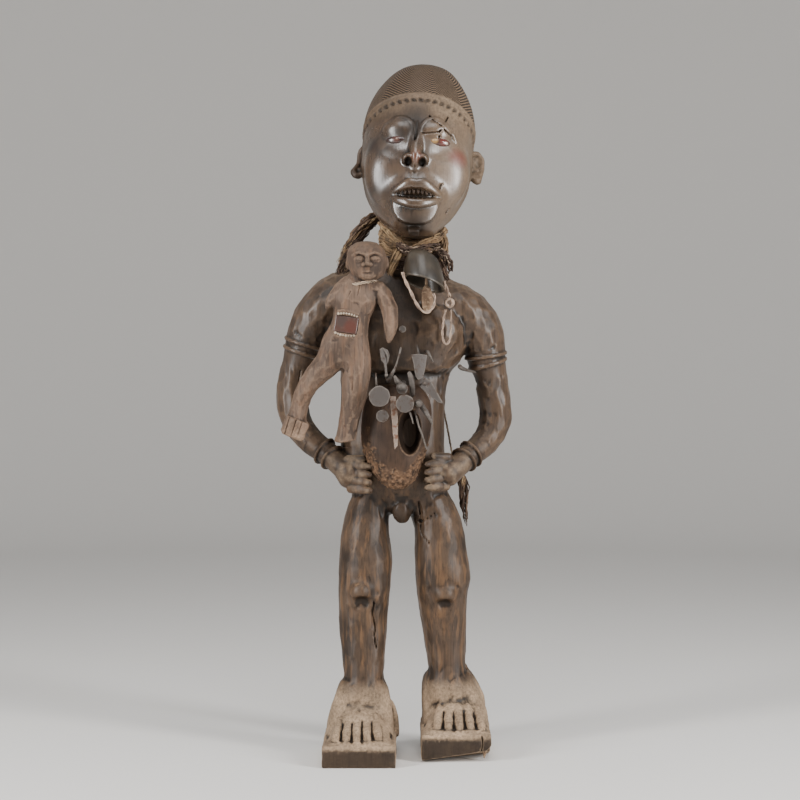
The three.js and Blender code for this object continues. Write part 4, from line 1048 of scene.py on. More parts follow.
    # Painted shade on the blocks' fronts below their tops, and over the middle of the belly.
    soot_and_shade += 0.75 * low * below * ease(-normals[:, 1], 0.5, 0.85) + 0.35 * near(points, (0, -50, 400), 80)
    marks["soot_and_shade"] = np.clip(soot_and_shade, 0, 1)
    marks["polish"] *= 1 - marks["soot_and_shade"]
    return points, faces, marks


def carve_teeth():
    """Filed teeth, fine enough to need a closer grid than the figure's."""
    lip = from_head((0, -70, -69.6))
    wood = Wood(*(np.arange(at - half, at + half, 0.6) for at, half in zip(lip, (30, 14, 16))))
    count = 8
    for i in range(count):
        x = (i - (count - 1) / 2) * 5.1
        y = -69.5 + 0.011 * x * x
        drop = 1.4 * (x / 20) ** 2
        for root, tip, z in ((2.3, 0.4, -63.2 - drop), (2.1, 0.4, -78 + drop)):
            toward = -5.6 if z > -68 else 5.4
            tooth = [(x, y, z, root, 1.8), (x, y - 0.4, z + toward * 0.5, root * 0.7, 1.5),
                     (x + 0.4, y - 0.2, z + toward, tip, 0.6)]
            wood.limb(tooth, step=1.2, place=IN_HEAD)
    return wood.surface()


# Colours, nodes and finishes.
def shade(code):
    """An sRGB hex colour as linear red, green, blue and full alpha."""
    parts = [int(code[i:i + 2], 16) / 255 for i in (1, 3, 5)]
    return (*(c / 12.92 if c <= 0.04045 else ((c + 0.055) / 1.055) ** 2.4 for c in parts), 1.0)


def add(tree, kind, inputs=None, **settings):
    """Add a node: inputs are values, outputs that lead to them, or nodes whose first output does."""
    new = tree.nodes.new(kind)
    for setting, value in settings.items():
        setattr(new, setting, value)
    for socket, value in (inputs or {}).items():
        if isinstance(value, bpy.types.Node):
            value = value.outputs[0]
        if isinstance(value, bpy.types.NodeSocket):
            tree.links.new(value, new.inputs[socket])
        else:
            new.inputs[socket].default_value = value
    return new


MATH = "ShaderNodeMath"
VECTOR = "ShaderNodeVectorMath"
RANGE = "ShaderNodeMapRange"
NOISE = "ShaderNodeTexNoise"
MARK = "ShaderNodeAttribute"
BUMP = "ShaderNodeBump"
RANDOM = "FunctionNodeRandomValue"
PART_OF = {"operation": "MULTIPLY", "use_clamp": True}
SUM_OF = {"operation": "ADD", "use_clamp": True}
A, B = 6, 7  # a Mix node's two colours
MIX = {"data_type": "RGBA"}
PER_MM = 1000.0  # patterns are scaled in turns per metre
WOOD_MARKS = ("hollow", "worn", "dust", "polish", "warm", "stain", "soot_and_shade", "cut", "cap", "weave")


def new_finish(name, roughness, **sockets):
    """A material, its nodes, its shader and the place on the piece in metres."""
    finish = bpy.data.materials.new(name)
    finish.use_nodes = True
    tree = finish.node_tree
    surface = tree.nodes["Principled BSDF"]
    surface.inputs["Roughness"].default_value = roughness
    for socket, value in sockets.items():
        surface.inputs[socket.replace("_", " ")].default_value = value
    place = add(tree, "ShaderNodeTexCoord").outputs["Object"]
    return finish, tree, surface, place


def layered(tree, base, *layers):
    """Colours laid over a first one, each with how much of it shows."""
    colour = base
    for amount, code in layers:
        colour = add(tree, "ShaderNodeMix", {0: amount, A: colour, B: shade(code)}, **MIX).outputs[2]
    return colour


def wood_finish(name, body, deep, worn, dust, warm, stain, shine):
    """Carved wood, resin or bone: streaks of grain two millimetres wide, and the marks of its points."""
    finish, tree, surface, place = new_finish(name, 0.5, IOR=1.5)
    marks = {mark: add(tree, MARK, attribute_name=mark).outputs["Fac"] for mark in WOOD_MARKS}
    along = add(tree, "ShaderNodeMapping", {"Vector": place, "Scale": (1.0, 1.0, 0.05)})
    grain = add(tree, NOISE, {"Vector": along, "Scale": PER_MM / 2.0, "Detail": 5.0})
    run = add(tree, "ShaderNodeMapping", {"Vector": place, "Scale": (1.0, 1.0, 0.16)})
    streak = add(tree, NOISE, {"Vector": run, "Scale": PER_MM / 6, "Detail": 6.0})
    blotch = add(tree, NOISE, {"Vector": place, "Scale": PER_MM / 38, "Detail": 6.0})
    speck = add(tree, NOISE, {"Vector": place, "Scale": PER_MM / 3.2, "Detail": 8.0, "Roughness": 0.7})

    # Each amount rises from 0 to its most as a pattern or mark goes from low to high.
    amounts = {}
    for layer, value, low, high, most in (
            ("blotch", blotch, 0.42, 0.68, 0.75),
            ("streak", streak, 0.5, 0.64, 1.0),
            ("warm", marks["warm"], 0.0, 1.0, 0.7),
            ("grain", grain, 0.5, 0.72, 0.6),
            ("worn", marks["worn"], 0.25, 1.0, 0.7),
            ("rubbed", speck, 0.3, 0.62, 1.0),
            ("cut", marks["cut"], 0.6, 1.0, 0.16),
            ("hollow", marks["hollow"], 0.1, 0.8, 0.85),
            ("dusty", speck, 0.2, 0.6, 0.85),
            ("stain", marks["stain"], 0.0, 0.7, 0.85),
            ("soot_and_shade", marks["soot_and_shade"], 0.0, 1.0, 0.8),
            ("dull dust", marks["dust"], 0.0, 1.0, 0.4),
            ("dull blotch", blotch, 0.4, 0.7, 0.14)):
        amounts[layer] = add(tree, RANGE, {0: value, 1: low, 2: high, 4: most})
    # The hollow layer is painted shade in hollows, and the last layer is soot together with painted shade,
    # both in the deep colour.
    colour = layered(
        tree, shade(body),
        (amounts["blotch"], deep),
        (add(tree, MATH, {0: amounts["streak"], 1: amounts["warm"]}, **PART_OF), warm),
        (amounts["grain"], deep),
        (add(tree, MATH, {0: amounts["worn"], 1: amounts["rubbed"]}, **PART_OF), worn),
        (amounts["cut"], worn),
        (amounts["hollow"], deep),
        (add(tree, MATH, {0: marks["dust"], 1: amounts["dusty"]}, **PART_OF), dust),
        (amounts["stain"], stain),
        (amounts["soot_and_shade"], deep),
    )

    # The cap's plait: painted highlights on its crests and painted shade in its grooves, over a bump of the
    # same rows.
    phase = add(tree, MATH, {0: marks["weave"], 1: 2 * math.pi / CAP["plait"]}, operation="MULTIPLY")
    ridge = add(tree, MATH, {0: phase}, operation="SINE", use_clamp=True)
    crest_highlight = add(tree, RANGE, {0: ridge, 1: 0.3, 2: 1.0, 4: 0.7})
    groove = add(tree, RANGE, {0: ridge, 1: 0.35, 2: 0.0, 4: 0.9})
    crest_highlight, groove, plait = (add(tree, MATH, {0: part, 1: marks["cap"]}, **PART_OF)
                            for part in (crest_highlight, groove, ridge))
    colour = layered(tree, colour, (crest_highlight, worn), (groove, deep))
    tree.links.new(colour, surface.inputs["Base Color"])

    # Polish makes it smooth and bright, and dust and blotches make it dull.
    roughness = add(tree, RANGE, {0: marks["polish"], 3: shine + 0.12, 4: 0.2})
    for dull in ("dull dust", "dull blotch"):
        roughness = add(tree, MATH, {0: roughness, 1: amounts[dull]}, **SUM_OF)
    tree.links.new(roughness.outputs[0], surface.inputs["Roughness"])
    glint = add(tree, RANGE, {0: marks["polish"], 3: 0.22, 4: 0.65})
    tree.links.new(glint.outputs[0], surface.inputs["Specular IOR Level"])
    height = add(tree, "ShaderNodeMix", {0: 0.35, 2: grain, 3: speck})
    fine = add(tree, BUMP, {"Strength": 0.35, "Distance": 0.0004, "Height": height})
    woven = add(tree, BUMP, {"Strength": 1.0, "Distance": 0.0006, "Height": plait, "Normal": fine})
    tree.links.new(woven.outputs[0], surface.inputs["Normal"])
    return finish


def iron_finish(name, body, edge, rust, rusty):
    """Forged iron: dull scale, brighter on its edges, with rust in patches six millimetres wide."""
    finish, tree, surface, place = new_finish(name, 0.55, Metallic=0.35)
    worn = add(tree, MARK, attribute_name="worn").outputs["Fac"]
    patch = add(tree, NOISE, {"Vector": place, "Scale": PER_MM / 6, "Detail": 8.0, "Roughness": 0.65})
    pits = add(tree, NOISE, {"Vector": place, "Scale": PER_MM / 1.4, "Detail": 4.0})
    rust_part = add(tree, RANGE, {0: patch, 1: 0.62 - rusty, 2: 0.72 - rusty})
    edge_part = add(tree, MATH, {0: worn, 1: 0.45}, **PART_OF)
    colour = layered(tree, shade(body), (edge_part, edge), (rust_part, rust))
    tree.links.new(colour, surface.inputs["Base Color"])
    rough = add(tree, RANGE, {0: rust_part, 3: 0.62, 4: 0.88})
    tree.links.new(rough.outputs[0], surface.inputs["Roughness"])
    bump = add(tree, BUMP, {"Strength": 0.5, "Distance": 0.0003, "Height": pits})
    tree.links.new(bump.outputs[0], surface.inputs["Normal"])
    return finish


def fibre_finish(name, body, dark, pale, roughness=0.85):
    """Plant fibre or hide: each strand its own shade, with dirty patches and pale flecks."""
    finish, tree, surface, place = new_finish(name, roughness, IOR=1.45)
    strand = add(tree, MARK, attribute_name="strand").outputs["Fac"]
    dirt = add(tree, NOISE, {"Vector": place, "Scale": PER_MM / 9, "Detail": 5.0})
    fleck = add(tree, NOISE, {"Vector": place, "Scale": PER_MM / 1.2, "Detail": 3.0})
    colour = layered(
        tree, shade(body),
        (add(tree, RANGE, {0: strand, 1: 0.5, 2: 1.0, 4: 0.8}), pale),
        (add(tree, RANGE, {0: dirt, 1: 0.45, 2: 0.7, 4: 0.85}), dark),
        (add(tree, RANGE, {0: fleck, 1: 0.55, 2: 0.8, 4: 0.4}), pale),
    )
    tree.links.new(colour, surface.inputs["Base Color"])
    bump = add(tree, BUMP, {"Strength": 0.4, "Distance": 0.0003, "Height": fleck})
    tree.links.new(bump.outputs[0], surface.inputs["Normal"])
    return finish


def new_tree(name, made, **wanted):
    """A tree with named inputs and one output, and the sockets that its inputs come from."""
    tree = bpy.data.node_groups.new(name, "GeometryNodeTree")
    for socket, kind in wanted.items():
        tree.interface.new_socket(socket.replace("_", " "), in_out="INPUT", socket_type="NodeSocket" + kind)
    tree.interface.new_socket(made, in_out="OUTPUT", socket_type="NodeSocketGeometry")
    return tree, tree.nodes.new("NodeGroupInput").outputs


def fibre_tree():
    """Fibres laid along cores: how many, how thick, how twisted, how loose and how ragged."""
    tree, given = new_tree(
        "fibres_along_cores", "Bundle", Cores="Geometry", Fibres="Int", Thickness="Float",
        Turns_per_metre="Float", Order="Float", Loose="Float", Curl="Float", Ragged="Float", Sides="Int",
        Seed="Int", Finish="Material")
    core = add(tree, "GeometryNodeMeshToCurve", {0: given["Cores"]})
    copies = add(tree, "GeometryNodeDuplicateElements", {0: core, "Amount": given["Fibres"]}, domain="SPLINE")
    number = copies.outputs["Duplicate Index"]
    seeds = [add(tree, MATH, {0: given["Seed"], 1: i}, operation="ADD") for i in range(4)]
    chance = [add(tree, RANDOM, {7: number, 8: seed}).outputs[1] for seed in seeds]
    spline = add(tree, "GeometryNodeSplineParameter").outputs

    # How far round its core each fibre lies: by chance, or in even order and twisted.
    even = add(tree, MATH, {0: number, 1: given["Fibres"]}, operation="DIVIDE")
    round_it = add(tree, "ShaderNodeMix", {0: given["Order"], 2: chance[0], 3: even})
    twist = add(tree, MATH, {0: spline["Length"], 1: given["Turns per metre"]}, operation="MULTIPLY")
    turns = add(tree, MATH, {0: twist, 1: round_it}, operation="ADD")
    angle = add(tree, MATH, {0: turns, 1: 2 * math.pi}, operation="MULTIPLY")
    spread = add(tree, MATH, {0: chance[1]}, operation="SQRT")
    out = add(tree, "ShaderNodeMix", {0: given["Order"], 2: spread, 3: 1.0})
    out = add(tree, MATH, {0: out, 1: add(tree, "GeometryNodeInputRadius")}, operation="MULTIPLY")
    side = add(tree, "GeometryNodeInputNormal")
    ahead = add(tree, "GeometryNodeInputTangent")
    across = add(tree, VECTOR, {0: ahead, 1: side}, operation="CROSS_PRODUCT")
    parts = []
    for direction, share in ((side, "COSINE"), (across, "SINE")):
        length = add(tree, MATH, {0: out, 1: add(tree, MATH, {0: angle}, operation=share)},
                     operation="MULTIPLY")
        parts.append(add(tree, VECTOR, {0: direction, "Scale": length}, operation="SCALE"))
    lie = add(tree, VECTOR, {0: parts[0], 1: parts[1]}, operation="ADD")

    # Loose fibres stray from it, each in its own way.
    own_way = add(tree, MATH, {0: chance[2], 1: 97.0}, operation="MULTIPLY")
    place = add(tree, "GeometryNodeInputPosition")
    drift = add(tree, NOISE, {"Vector": place, "W": own_way, "Scale": given["Curl"], "Detail": 1.0},
                noise_dimensions="4D").outputs["Color"]
    drift = add(tree, VECTOR, {0: drift, 1: (0.5, 0.5, 0.5)}, operation="SUBTRACT")
    drift = add(tree, VECTOR, {0: drift, "Scale": given["Loose"]}, operation="SCALE")
    lie = add(tree, VECTOR, {0: lie, 1: drift}, operation="ADD")
    laid = add(tree, "GeometryNodeSetPosition", {0: copies, "Offset": lie})

    # Ragged ends, a taper towards them, and each fibre's own thickness and shade.
    shorter = add(tree, MATH, {0: given["Ragged"], 1: chance[3]}, operation="MULTIPLY")
    ends = add(tree, MATH, {0: 1.0, 1: shorter}, operation="SUBTRACT")
    cut = add(tree, "GeometryNodeTrimCurve", {0: laid, 3: ends})
    shaded = add(tree, "GeometryNodeStoreNamedAttribute", {0: cut, "Name": "strand", "Value": chance[2]},
                 data_type="FLOAT", domain="POINT")
    far = add(tree, MATH, {0: spline["Factor"], 1: 5.0}, operation="POWER")
    thinner = add(tree, MATH, {0: far, 1: 0.55}, operation="MULTIPLY")
    taper = add(tree, MATH, {0: 1.0, 1: thinner}, operation="SUBTRACT")
    thick = add(tree, MATH, {0: chance[0], 1: 0.5}, operation="MULTIPLY")
    thick = add(tree, MATH, {0: thick, 1: 0.7}, operation="ADD")
    thick = add(tree, MATH, {0: given["Thickness"], 1: thick}, operation="MULTIPLY")
    thick = add(tree, MATH, {0: thick, 1: taper}, operation="MULTIPLY")
    section = add(tree, "GeometryNodeCurvePrimitiveCircle", {"Resolution": given["Sides"], "Radius": 1.0})
    tubes = add(tree, "GeometryNodeCurveToMesh", {0: shaded, 1: section, "Scale": thick, "Fill Caps": True})
    smooth = add(tree, "GeometryNodeSetShadeSmooth", {0: tubes})
    real = add(tree, "GeometryNodeRealizeInstances", {0: smooth})
    done = add(tree, "GeometryNodeSetMaterial", {0: real, "Material": given["Finish"]})
    add(tree, "NodeGroupOutput", {0: done})
    return tree


FIBRES = fibre_tree()


def worked_along(name, tree, cores, step, values):
    """What a tree makes along cores, whose rows are x, y, z and radius in millimetres, as plain mesh."""
    places, links = [], []
    for rows in cores:
        table = np.array(rows, float)
        length = np.linalg.norm(np.diff(table[:, :3], axis=0), axis=1).sum()
        fine = row_at(table, np.linspace(0, len(table) - 1, max(int(length / step), 4) + 1))
        start = sum(len(p) for p in places)
        links += [(start + i, start + i + 1) for i in range(len(fine) - 1)]
        places.append(fine)
    places = np.concatenate(places)
    mesh = bpy.data.meshes.new(name)
    mesh.from_pydata(metres(places[:, :3]), links, [])
    radius = mesh.attributes.new("radius", "FLOAT", "POINT")
    radius.data.foreach_set("value", (places[:, 3] / 1000).astype(np.float32))
    piece = bpy.data.objects.new(name, mesh)
    bpy.context.scene.collection.objects.link(piece)
    work = piece.modifiers.new("work", "NODES")
    work.node_group = tree
    for socket in tree.interface.items_tree:
        if socket.in_out == "INPUT" and socket.name in values:
            work[socket.identifier] = values[socket.name]
    return applied(piece)


def strands(name, cores, finish, slot, *nodes, step=3.0, **given):
    """A finished piece of fibres along cores: the numbers for them go by their names in the tree."""
    values = {"Order": 0.0, "Loose": 0.0, "Curl": 55.0, "Ragged": 0.0, "Sides": 5, "Seed": 1,
              "Turns per metre": 0.0, "Finish": finish}
    values.update({key.replace("_", " "): value for key, value in given.items()})
    return dressed(worked_along(name, FIBRES, cores, step, values), None, slot, *nodes)


# Dark hardwood, adzed, oiled and smoked: glossy on the face, streaked brown legs, grey dust on the feet.
smoked_wood = wood_finish("smoked_and_oiled_hardwood", body="#45362a", deep="#140f0b", worn="#6c5642",
                          dust="#a18a71", warm="#5f4630", stain="#5f261a", shine=0.29)
# Hardwood left dry: paler, greyer and duller, with dark streaks.
pale_wood = wood_finish("dry_hardwood", body="#59483c", deep="#261d17", worn="#705c4c", dust="#977f6a",
                        warm="#644c3b", stain="#6d3a2a", shine=0.46)
# Hardwood cut smooth and greased by hands: nearly black and a little glossy, its rim worn pale.
bell_wood = wood_finish("greased_dark_hardwood", body="#2f2820", deep="#12100c", worn="#6a6053",
                        dust="#8a7868", warm="#4c3826", stain="#4c3826", shine=0.3)
# Wood split and left raw: pale and matt.
split_wood = wood_finish("split_raw_wood", body="#78614d", deep="#45352a", worn="#a08a72", dust="#a08a72",
                         warm="#78614d", stain="#6d4a33", shine=0.75)
# Resin mixed with earth by hand: dull brown, its crust paler and earthy, its hollow painted almost black as
# shade.
pack_resin = wood_finish("resin_and_earth", body="#3f2e22", deep="#140d08", worn="#6b543f", dust="#775b45",
                         warm="#543e2c", stain="#8f6240", shine=0.46)
# Bone, worn by handling: dull cream, with brown painted shade in its hollows.
bone = wood_finish("worn_bone", body="#a39482", deep="#4b4036", worn="#c9bba6", dust="#a39482",
                   warm="#a39482", stain="#6b5a4a", shine=0.4)
# Hand-forged iron under old scale: dull grey-brown with lighter edges, hardly metallic.
forged_iron = iron_finish("forged_iron", body="#423c38", edge="#6c645c", rust="#3f3128", rusty=0.08)
# Iron rusted through its scale: paler, grey and brown in patches.
rusted_iron = iron_finish("rusted_iron", body="#6e5f54", edge="#8f8175", rust="#634636", rusty=0.12)
# Strips of raffia leaf: straw brown, each strip of its own shade.
raffia = fibre_finish("raffia_fibre", body="#72593f", dark="#33261b", pale="#a8906c")
# Twine blackened by smoke: dark brown with a few pale strands.
old_twine = fibre_finish("sooty_twine", body="#3b2a1f", dark="#18100b", pale="#7a6250")
# Twine of bark fibre under dust: pale grey-brown.
pale_twine = fibre_finish("dusty_bark_twine", body="#7d6a58", dark="#3c2f25", pale="#b7a48f")
# Thongs of greased hide: brown with a faint sheen.
hide = fibre_finish("greased_hide_thong", body="#7b6455", dark="#3d2d24", pale="#a8927f", roughness=0.55)


# Cords, along the same routes as in the solids.
LOOP = [(3, -88, 578), (7, -96, 566), (13, -99, 554), (18, -100, 543), (24, -101, 534), (32, -100, 531),
        (38, -98, 536), (41, -95, 546), (39, -94, 553)]
STRAND = [(51, -84, 568), (55, -77, 558), (58.5, -69, 551)]
HAIRPIN = [(54, -61, 536), (51.5, -56, 522), (50.5, -55, 508), (52, -55, 498), (56, -55, 495.5),
           (59.5, -55, 502), (60.5, -56, 516), (60.5, -61, 536)]
BACK = [(30, 52, 606), (34, 60, 580), (38, 64, 530), (44, 62, 480), (52, 58, 430), (60, 58, 390),
        (66, 52, 358), (72, 43, 341), (77, 36, 328), (79, 32, 314)]


def with_radius(points, radius):
    """A core's rows: points of its route, each with the core's radius."""
    return [(*p, radius) for p in points]


strand = strands("thong_strand_twist", [with_radius(STRAND, 1.3)], hide, "leather_thong", "thong_strand",
                 Fibres=2, Thickness=0.0017, Order=1.0, Turns_per_metre=40.0, Sides=8, step=1.0)
hairpin = strands("thong_hairpin_twist", [with_radius(HAIRPIN, 0.7)], hide, "leather_thong", "thong_hairpin",
                  Fibres=2, Thickness=0.0011, Order=1.0, Turns_per_metre=55.0, Sides=7, step=1.2)
knot_rows = [(58.5 + 3.6 * math.cos(t) * (1 + 0.2 * math.sin(2.3 * t)), -62 + 3.4 * math.sin(1.31 * t),
              544 + 3.8 * math.sin(t), 0.6) for t in np.linspace(0, 6 * math.pi, 40)]
knot = strands("thong_knot_turns", [knot_rows], hide, "leather_thong", "thong_knot",
               Fibres=1, Thickness=0.0022, Order=1.0, Sides=8, step=1.0)
loop = strands("thong_loop_twist", [with_radius(LOOP, 0.9)], hide, "leather_thong", "thong_loop",
               Fibres=2, Thickness=0.00135, Order=1.0, Turns_per_metre=35.0, Sides=8, step=1.5)
tassel_core = [[(68, 44, 346, 2.4), (76, 38, 332, 5.6), (79, 32, 316, 6.4), (80, 30, 300, 4.6),
                (82, 30, 272, 1.8)]]
tassel = strands("hip_tassel_fibres", tassel_core, old_twine, "dark_cord", "hip_tassel", Fibres=30,
                 Thickness=0.0010, Loose=0.006, Curl=120.0, Turns_per_metre=6.0, Ragged=0.6, Sides=4, Seed=9)
lump_core = [[(69, 42, 344, 2), (74, 37, 335, 4.5), (77, 33, 325, 4.5), (78, 32, 317, 2)]]
lump = strands("hip_tassel_lump", lump_core, raffia, "raffia_binding", Fibres=30, Thickness=0.0012,
               Loose=0.004, Curl=150.0, Turns_per_metre=20.0, Sides=4, Seed=19)
back = strands("back_cord_twist", [with_radius(BACK, 0.8)], pale_twine, "pale_cord", "back_cord", Fibres=3,
               Thickness=0.0009, Order=1.0, Turns_per_metre=70.0, Sides=5, step=1.5)

# The figure, thinned to what an STL file keeps whole.
MOST_TRIANGLES = 192000
points, faces, marks = carve_figure()
teeth_points, teeth_faces = carve_teeth()
marks = {mark: np.concatenate([values, np.zeros(len(teeth_points))]) for mark, values in marks.items()}
figure = made_mesh("figure_carving", np.concatenate([points, teeth_points]),
                   np.concatenate([faces, teeth_faces + len(points)]), marks)
thin = figure.modifiers.new("thin", "DECIMATE")
thin.ratio = MOST_TRIANGLES / (2 * (len(faces) + len(teeth_faces)))
dressed(applied(figure), smoked_wood, "carved_wood", "figure")


def carved(name, wood, finish, slot, *nodes, rough=0.0, grit=3.0, move=None, marks=None):
    """A piece cut out of a block, its surface made rough, with the marks of wear and painted shade in its
    hollows.
    """
    points, faces = wood.surface()
    normals = normals_of(points, faces)
    if rough or move is not None:
        out = rough * (lumps(points, grit, 5) + 0.5 * lumps(points, grit / 2, 6))
        points = points + normals * (out + (0 if move is None else move(points, faces)))[:, None]
        normals = normals_of(points, faces)
    worn = wear_and_shade_marks(points, faces, normals)
    worn.update(marks(points, normals) if marks else {})
    return dressed(made_mesh(name, points, faces, worn), finish, slot, *nodes)


def small_cuts(points, faces):
    """The small figure's adze cuts, weaker on its face and round its window."""
    move, _ = adze_cuts(points, faces, 8, 15, 11)
    in_face = ease(points[:, 2], 566, 576) * ease(-points[:, 1], 72, 82)
    return move * (0.8 - 0.65 * in_face) * (1 - near(points, WINDOW["at"], 20))


def small_marks(points, normals):
    """Dust on the small figure's right foot and on what faces up, soot on its crown, and darker under its
    window.
    """
    foot = (1 - ease(points[:, 2], 380, 402)) * (points[:, 0] < -90)
    soot_and_shade = 0.4 * near(points, (-39, -80, 614), 18) + 0.5 * near(points, (-70, -86, 484), 22)
    dust = 0.7 * foot + 0.2 * ease(normals[:, 2], 0.4, 1)
    return {"dust": dust, "warm": np.ones(len(points)), "soot_and_shade": soot_and_shade}


carved("small_figure_carving", cut_small_figure(), pale_wood, "small_figure_wood", "small_figure",
       move=small_cuts, marks=small_marks)

# Resin pack on the belly, crusted round its foot, open in front where its filling has sunk.
PACK_ROWS = [
    (322, -3, -34, 9, 15, 6),
    (333, -4, -34, 22, 25, 6),
    (352, -6, -34, 33, 31, 6),
    (378, -6, -34, 40, 33, 6),
    (405, -4, -34, 42, 30, 6),
    (430, -3, -34, 38, 24, 6),
    (447, -2, -34, 24, 13, 6),
]
PACK_HOLLOW = ((12, -66, 391), (13.5, 34, 27))  # its middle and its half sizes


def cut_pack():
    """The pack's block, its sunk hollow, and a small lug at its foot."""
    wood = Wood(np.arange(-52, 44, 0.9), np.arange(-74, -22, 0.9), np.arange(316, 456, 0.9))
    wood.column(PACK_ROWS, power=2.4, ends=4)
    wood.egg(*PACK_HOLLOW, soft=2, away=True)
    wood.bar((2, -28, 330), (4, 12, 12), soft=1)
    return wood


def crust(points):
    """How much of the pack's earth and fibre crust shows at a point: a band that hangs like a bib."""
    edge = np.hypot(points[:, 0] + 3, (points[:, 2] - 392) * 0.62)
    band = ease(edge, 26, 34) * ease(400 - points[:, 2], 0, 40)
    return np.clip(band + (lumps(points, 7, 21) * 0.7) * (band > 0.02), 0, 1)


def pack_move(points, faces):
    """Lumps of the crust, and a slow swell of the resin."""
    band = crust(points)
    return band * (1.5 * lumps(points, 3.0, 22) + 0.8 * lumps(points, 1.8, 23)) + 0.35 * lumps(points, 14, 24)


def pack_marks(points, normals):
    """Earth on the crust, and painted shade that darkens the hollow."""
    band = crust(points)
    dust = 0.8 * band * ease(lumps(points, 4, 25), -0.5, 0.5)
    return {"dust": dust, "soot_and_shade": 1.6 * near(points, (12, -42, 391), 36), "warm": 0.3 + 0.7 * band}


carved("resin_pack", cut_pack(), pack_resin, "resin_pack", "medicine_pack", move=pack_move, marks=pack_marks)

# Bell: a wooden cup turned mouth down, and the clapper in it.
BELL = {"at": (28, -75.5, 566), "radius": 26, "high": 37, "wall": 3.5, "forward": 13, "side": 18,
        "skew": 0.34}
BELL_SHARES = [(1, 0), (0.98, 0.25), (0.88, 0.55), (0.72, 0.82), (0.5, 0.96), (0, 1)]  # of radius, height


def bell_profile(radius, high):
    """The bell's half outline from its mouth to its top, as radius and height."""
    shares = np.array(BELL_SHARES, float) * [radius, high]
    return row_at(shares, np.linspace(0, len(shares) - 1, 31))


def cut_bell():
    """The bell's own mesh: outside, rim and inside, round an upright axis, then tipped into place."""
    outside = bell_profile(BELL["radius"], BELL["high"])
    inside = bell_profile(BELL["radius"] - BELL["wall"], BELL["high"] - BELL["wall"])
    lip = [(BELL["radius"] - 0.3, -0.5), (BELL["radius"] - BELL["wall"] / 2, -0.8),
           (BELL["radius"] - BELL["wall"] + 0.3, -0.5)]
    profile = np.concatenate([outside[::-1][1:], lip, inside[:-1]])
    profile = profile[profile[:, 0] > 0.05]
    sides = 72
    turn = turned(-BELL["forward"], BELL["side"], 0)
    angles = np.linspace(0, 2 * math.pi, sides, endpoint=False)
    ring = np.stack([np.cos(angles), np.sin(angles)], 1)
    rows = []
    for radius, height in profile:
        wave = 1 + 0.012 * np.sin(3 * angles + height / 14) + 0.008 * np.sin(7 * angles)
        curl = 0.9 * np.exp(-((height / 7) ** 2)) * np.maximum(-np.sin(angles), 0)
        ring_row = np.column_stack([ring * (radius * wave + curl)[:, None], np.full(sides, height)])
        rows.append(ring_row - [BELL["skew"] * height, 0, 0])
    count = len(rows)
    tops = [[[-BELL["skew"] * high, 0, high]] for high in (BELL["high"], BELL["high"] - BELL["wall"])]
    points = np.concatenate(rows + tops)
    faces = [(i * sides + j, (i + 1) * sides + j,
              (i + 1) * sides + (j + 1) % sides, i * sides + (j + 1) % sides)
             for i in range(count - 1) for j in range(sides)]
    faces += [(count * sides, j, (j + 1) % sides) for j in range(sides)]
    last = (count - 1) * sides
    faces += [(count * sides + 1, last + (j + 1) % sides, last + j) for j in range(sides)]
    return points @ turn.T + BELL["at"], faces


bell_points, bell_faces = cut_bell()
rim = 1 - ease(np.abs((bell_points - BELL["at"]) @ turned(-BELL["forward"], BELL["side"], 0))[:, 2], 0.3, 2.6)
bell_marks = {"worn": 0.75 * rim, "cut": (lumps(bell_points, 12, 32) + 1) / 2,
              "polish": np.full(len(rim), 0.45)}
bell = made_mesh("bell_cup", bell_points + 0.25 * lumps(bell_points, 9, 31)[:, None], bell_faces, bell_marks)
dressed(bell, bell_wood, "bell_wood", "bell")


def cut_clapper():
    """The stick in the bell, and the weight at its end."""
    wood = Wood(np.arange(22, 42, 0.7), np.arange(-94, -64, 0.7), np.arange(528, 602, 0.7))
    wood.limb([(31, -68, 598, 1.6, 1.6), (31, -79, 556, 1.6, 1.6)])
    weight = [(31, -78, 560, 3.6, 3.6), (31.8, -80, 554, 6.2, 6.2), (32.5, -83, 541, 6.8, 6.8),
              (32.8, -84, 536, 4.8, 4.8)]
    wood.limb(weight, soft=1)
    return wood


carved("clapper_carving", cut_clapper(), split_wood, "clapper_wood", "bell_clapper", rough=0.25)


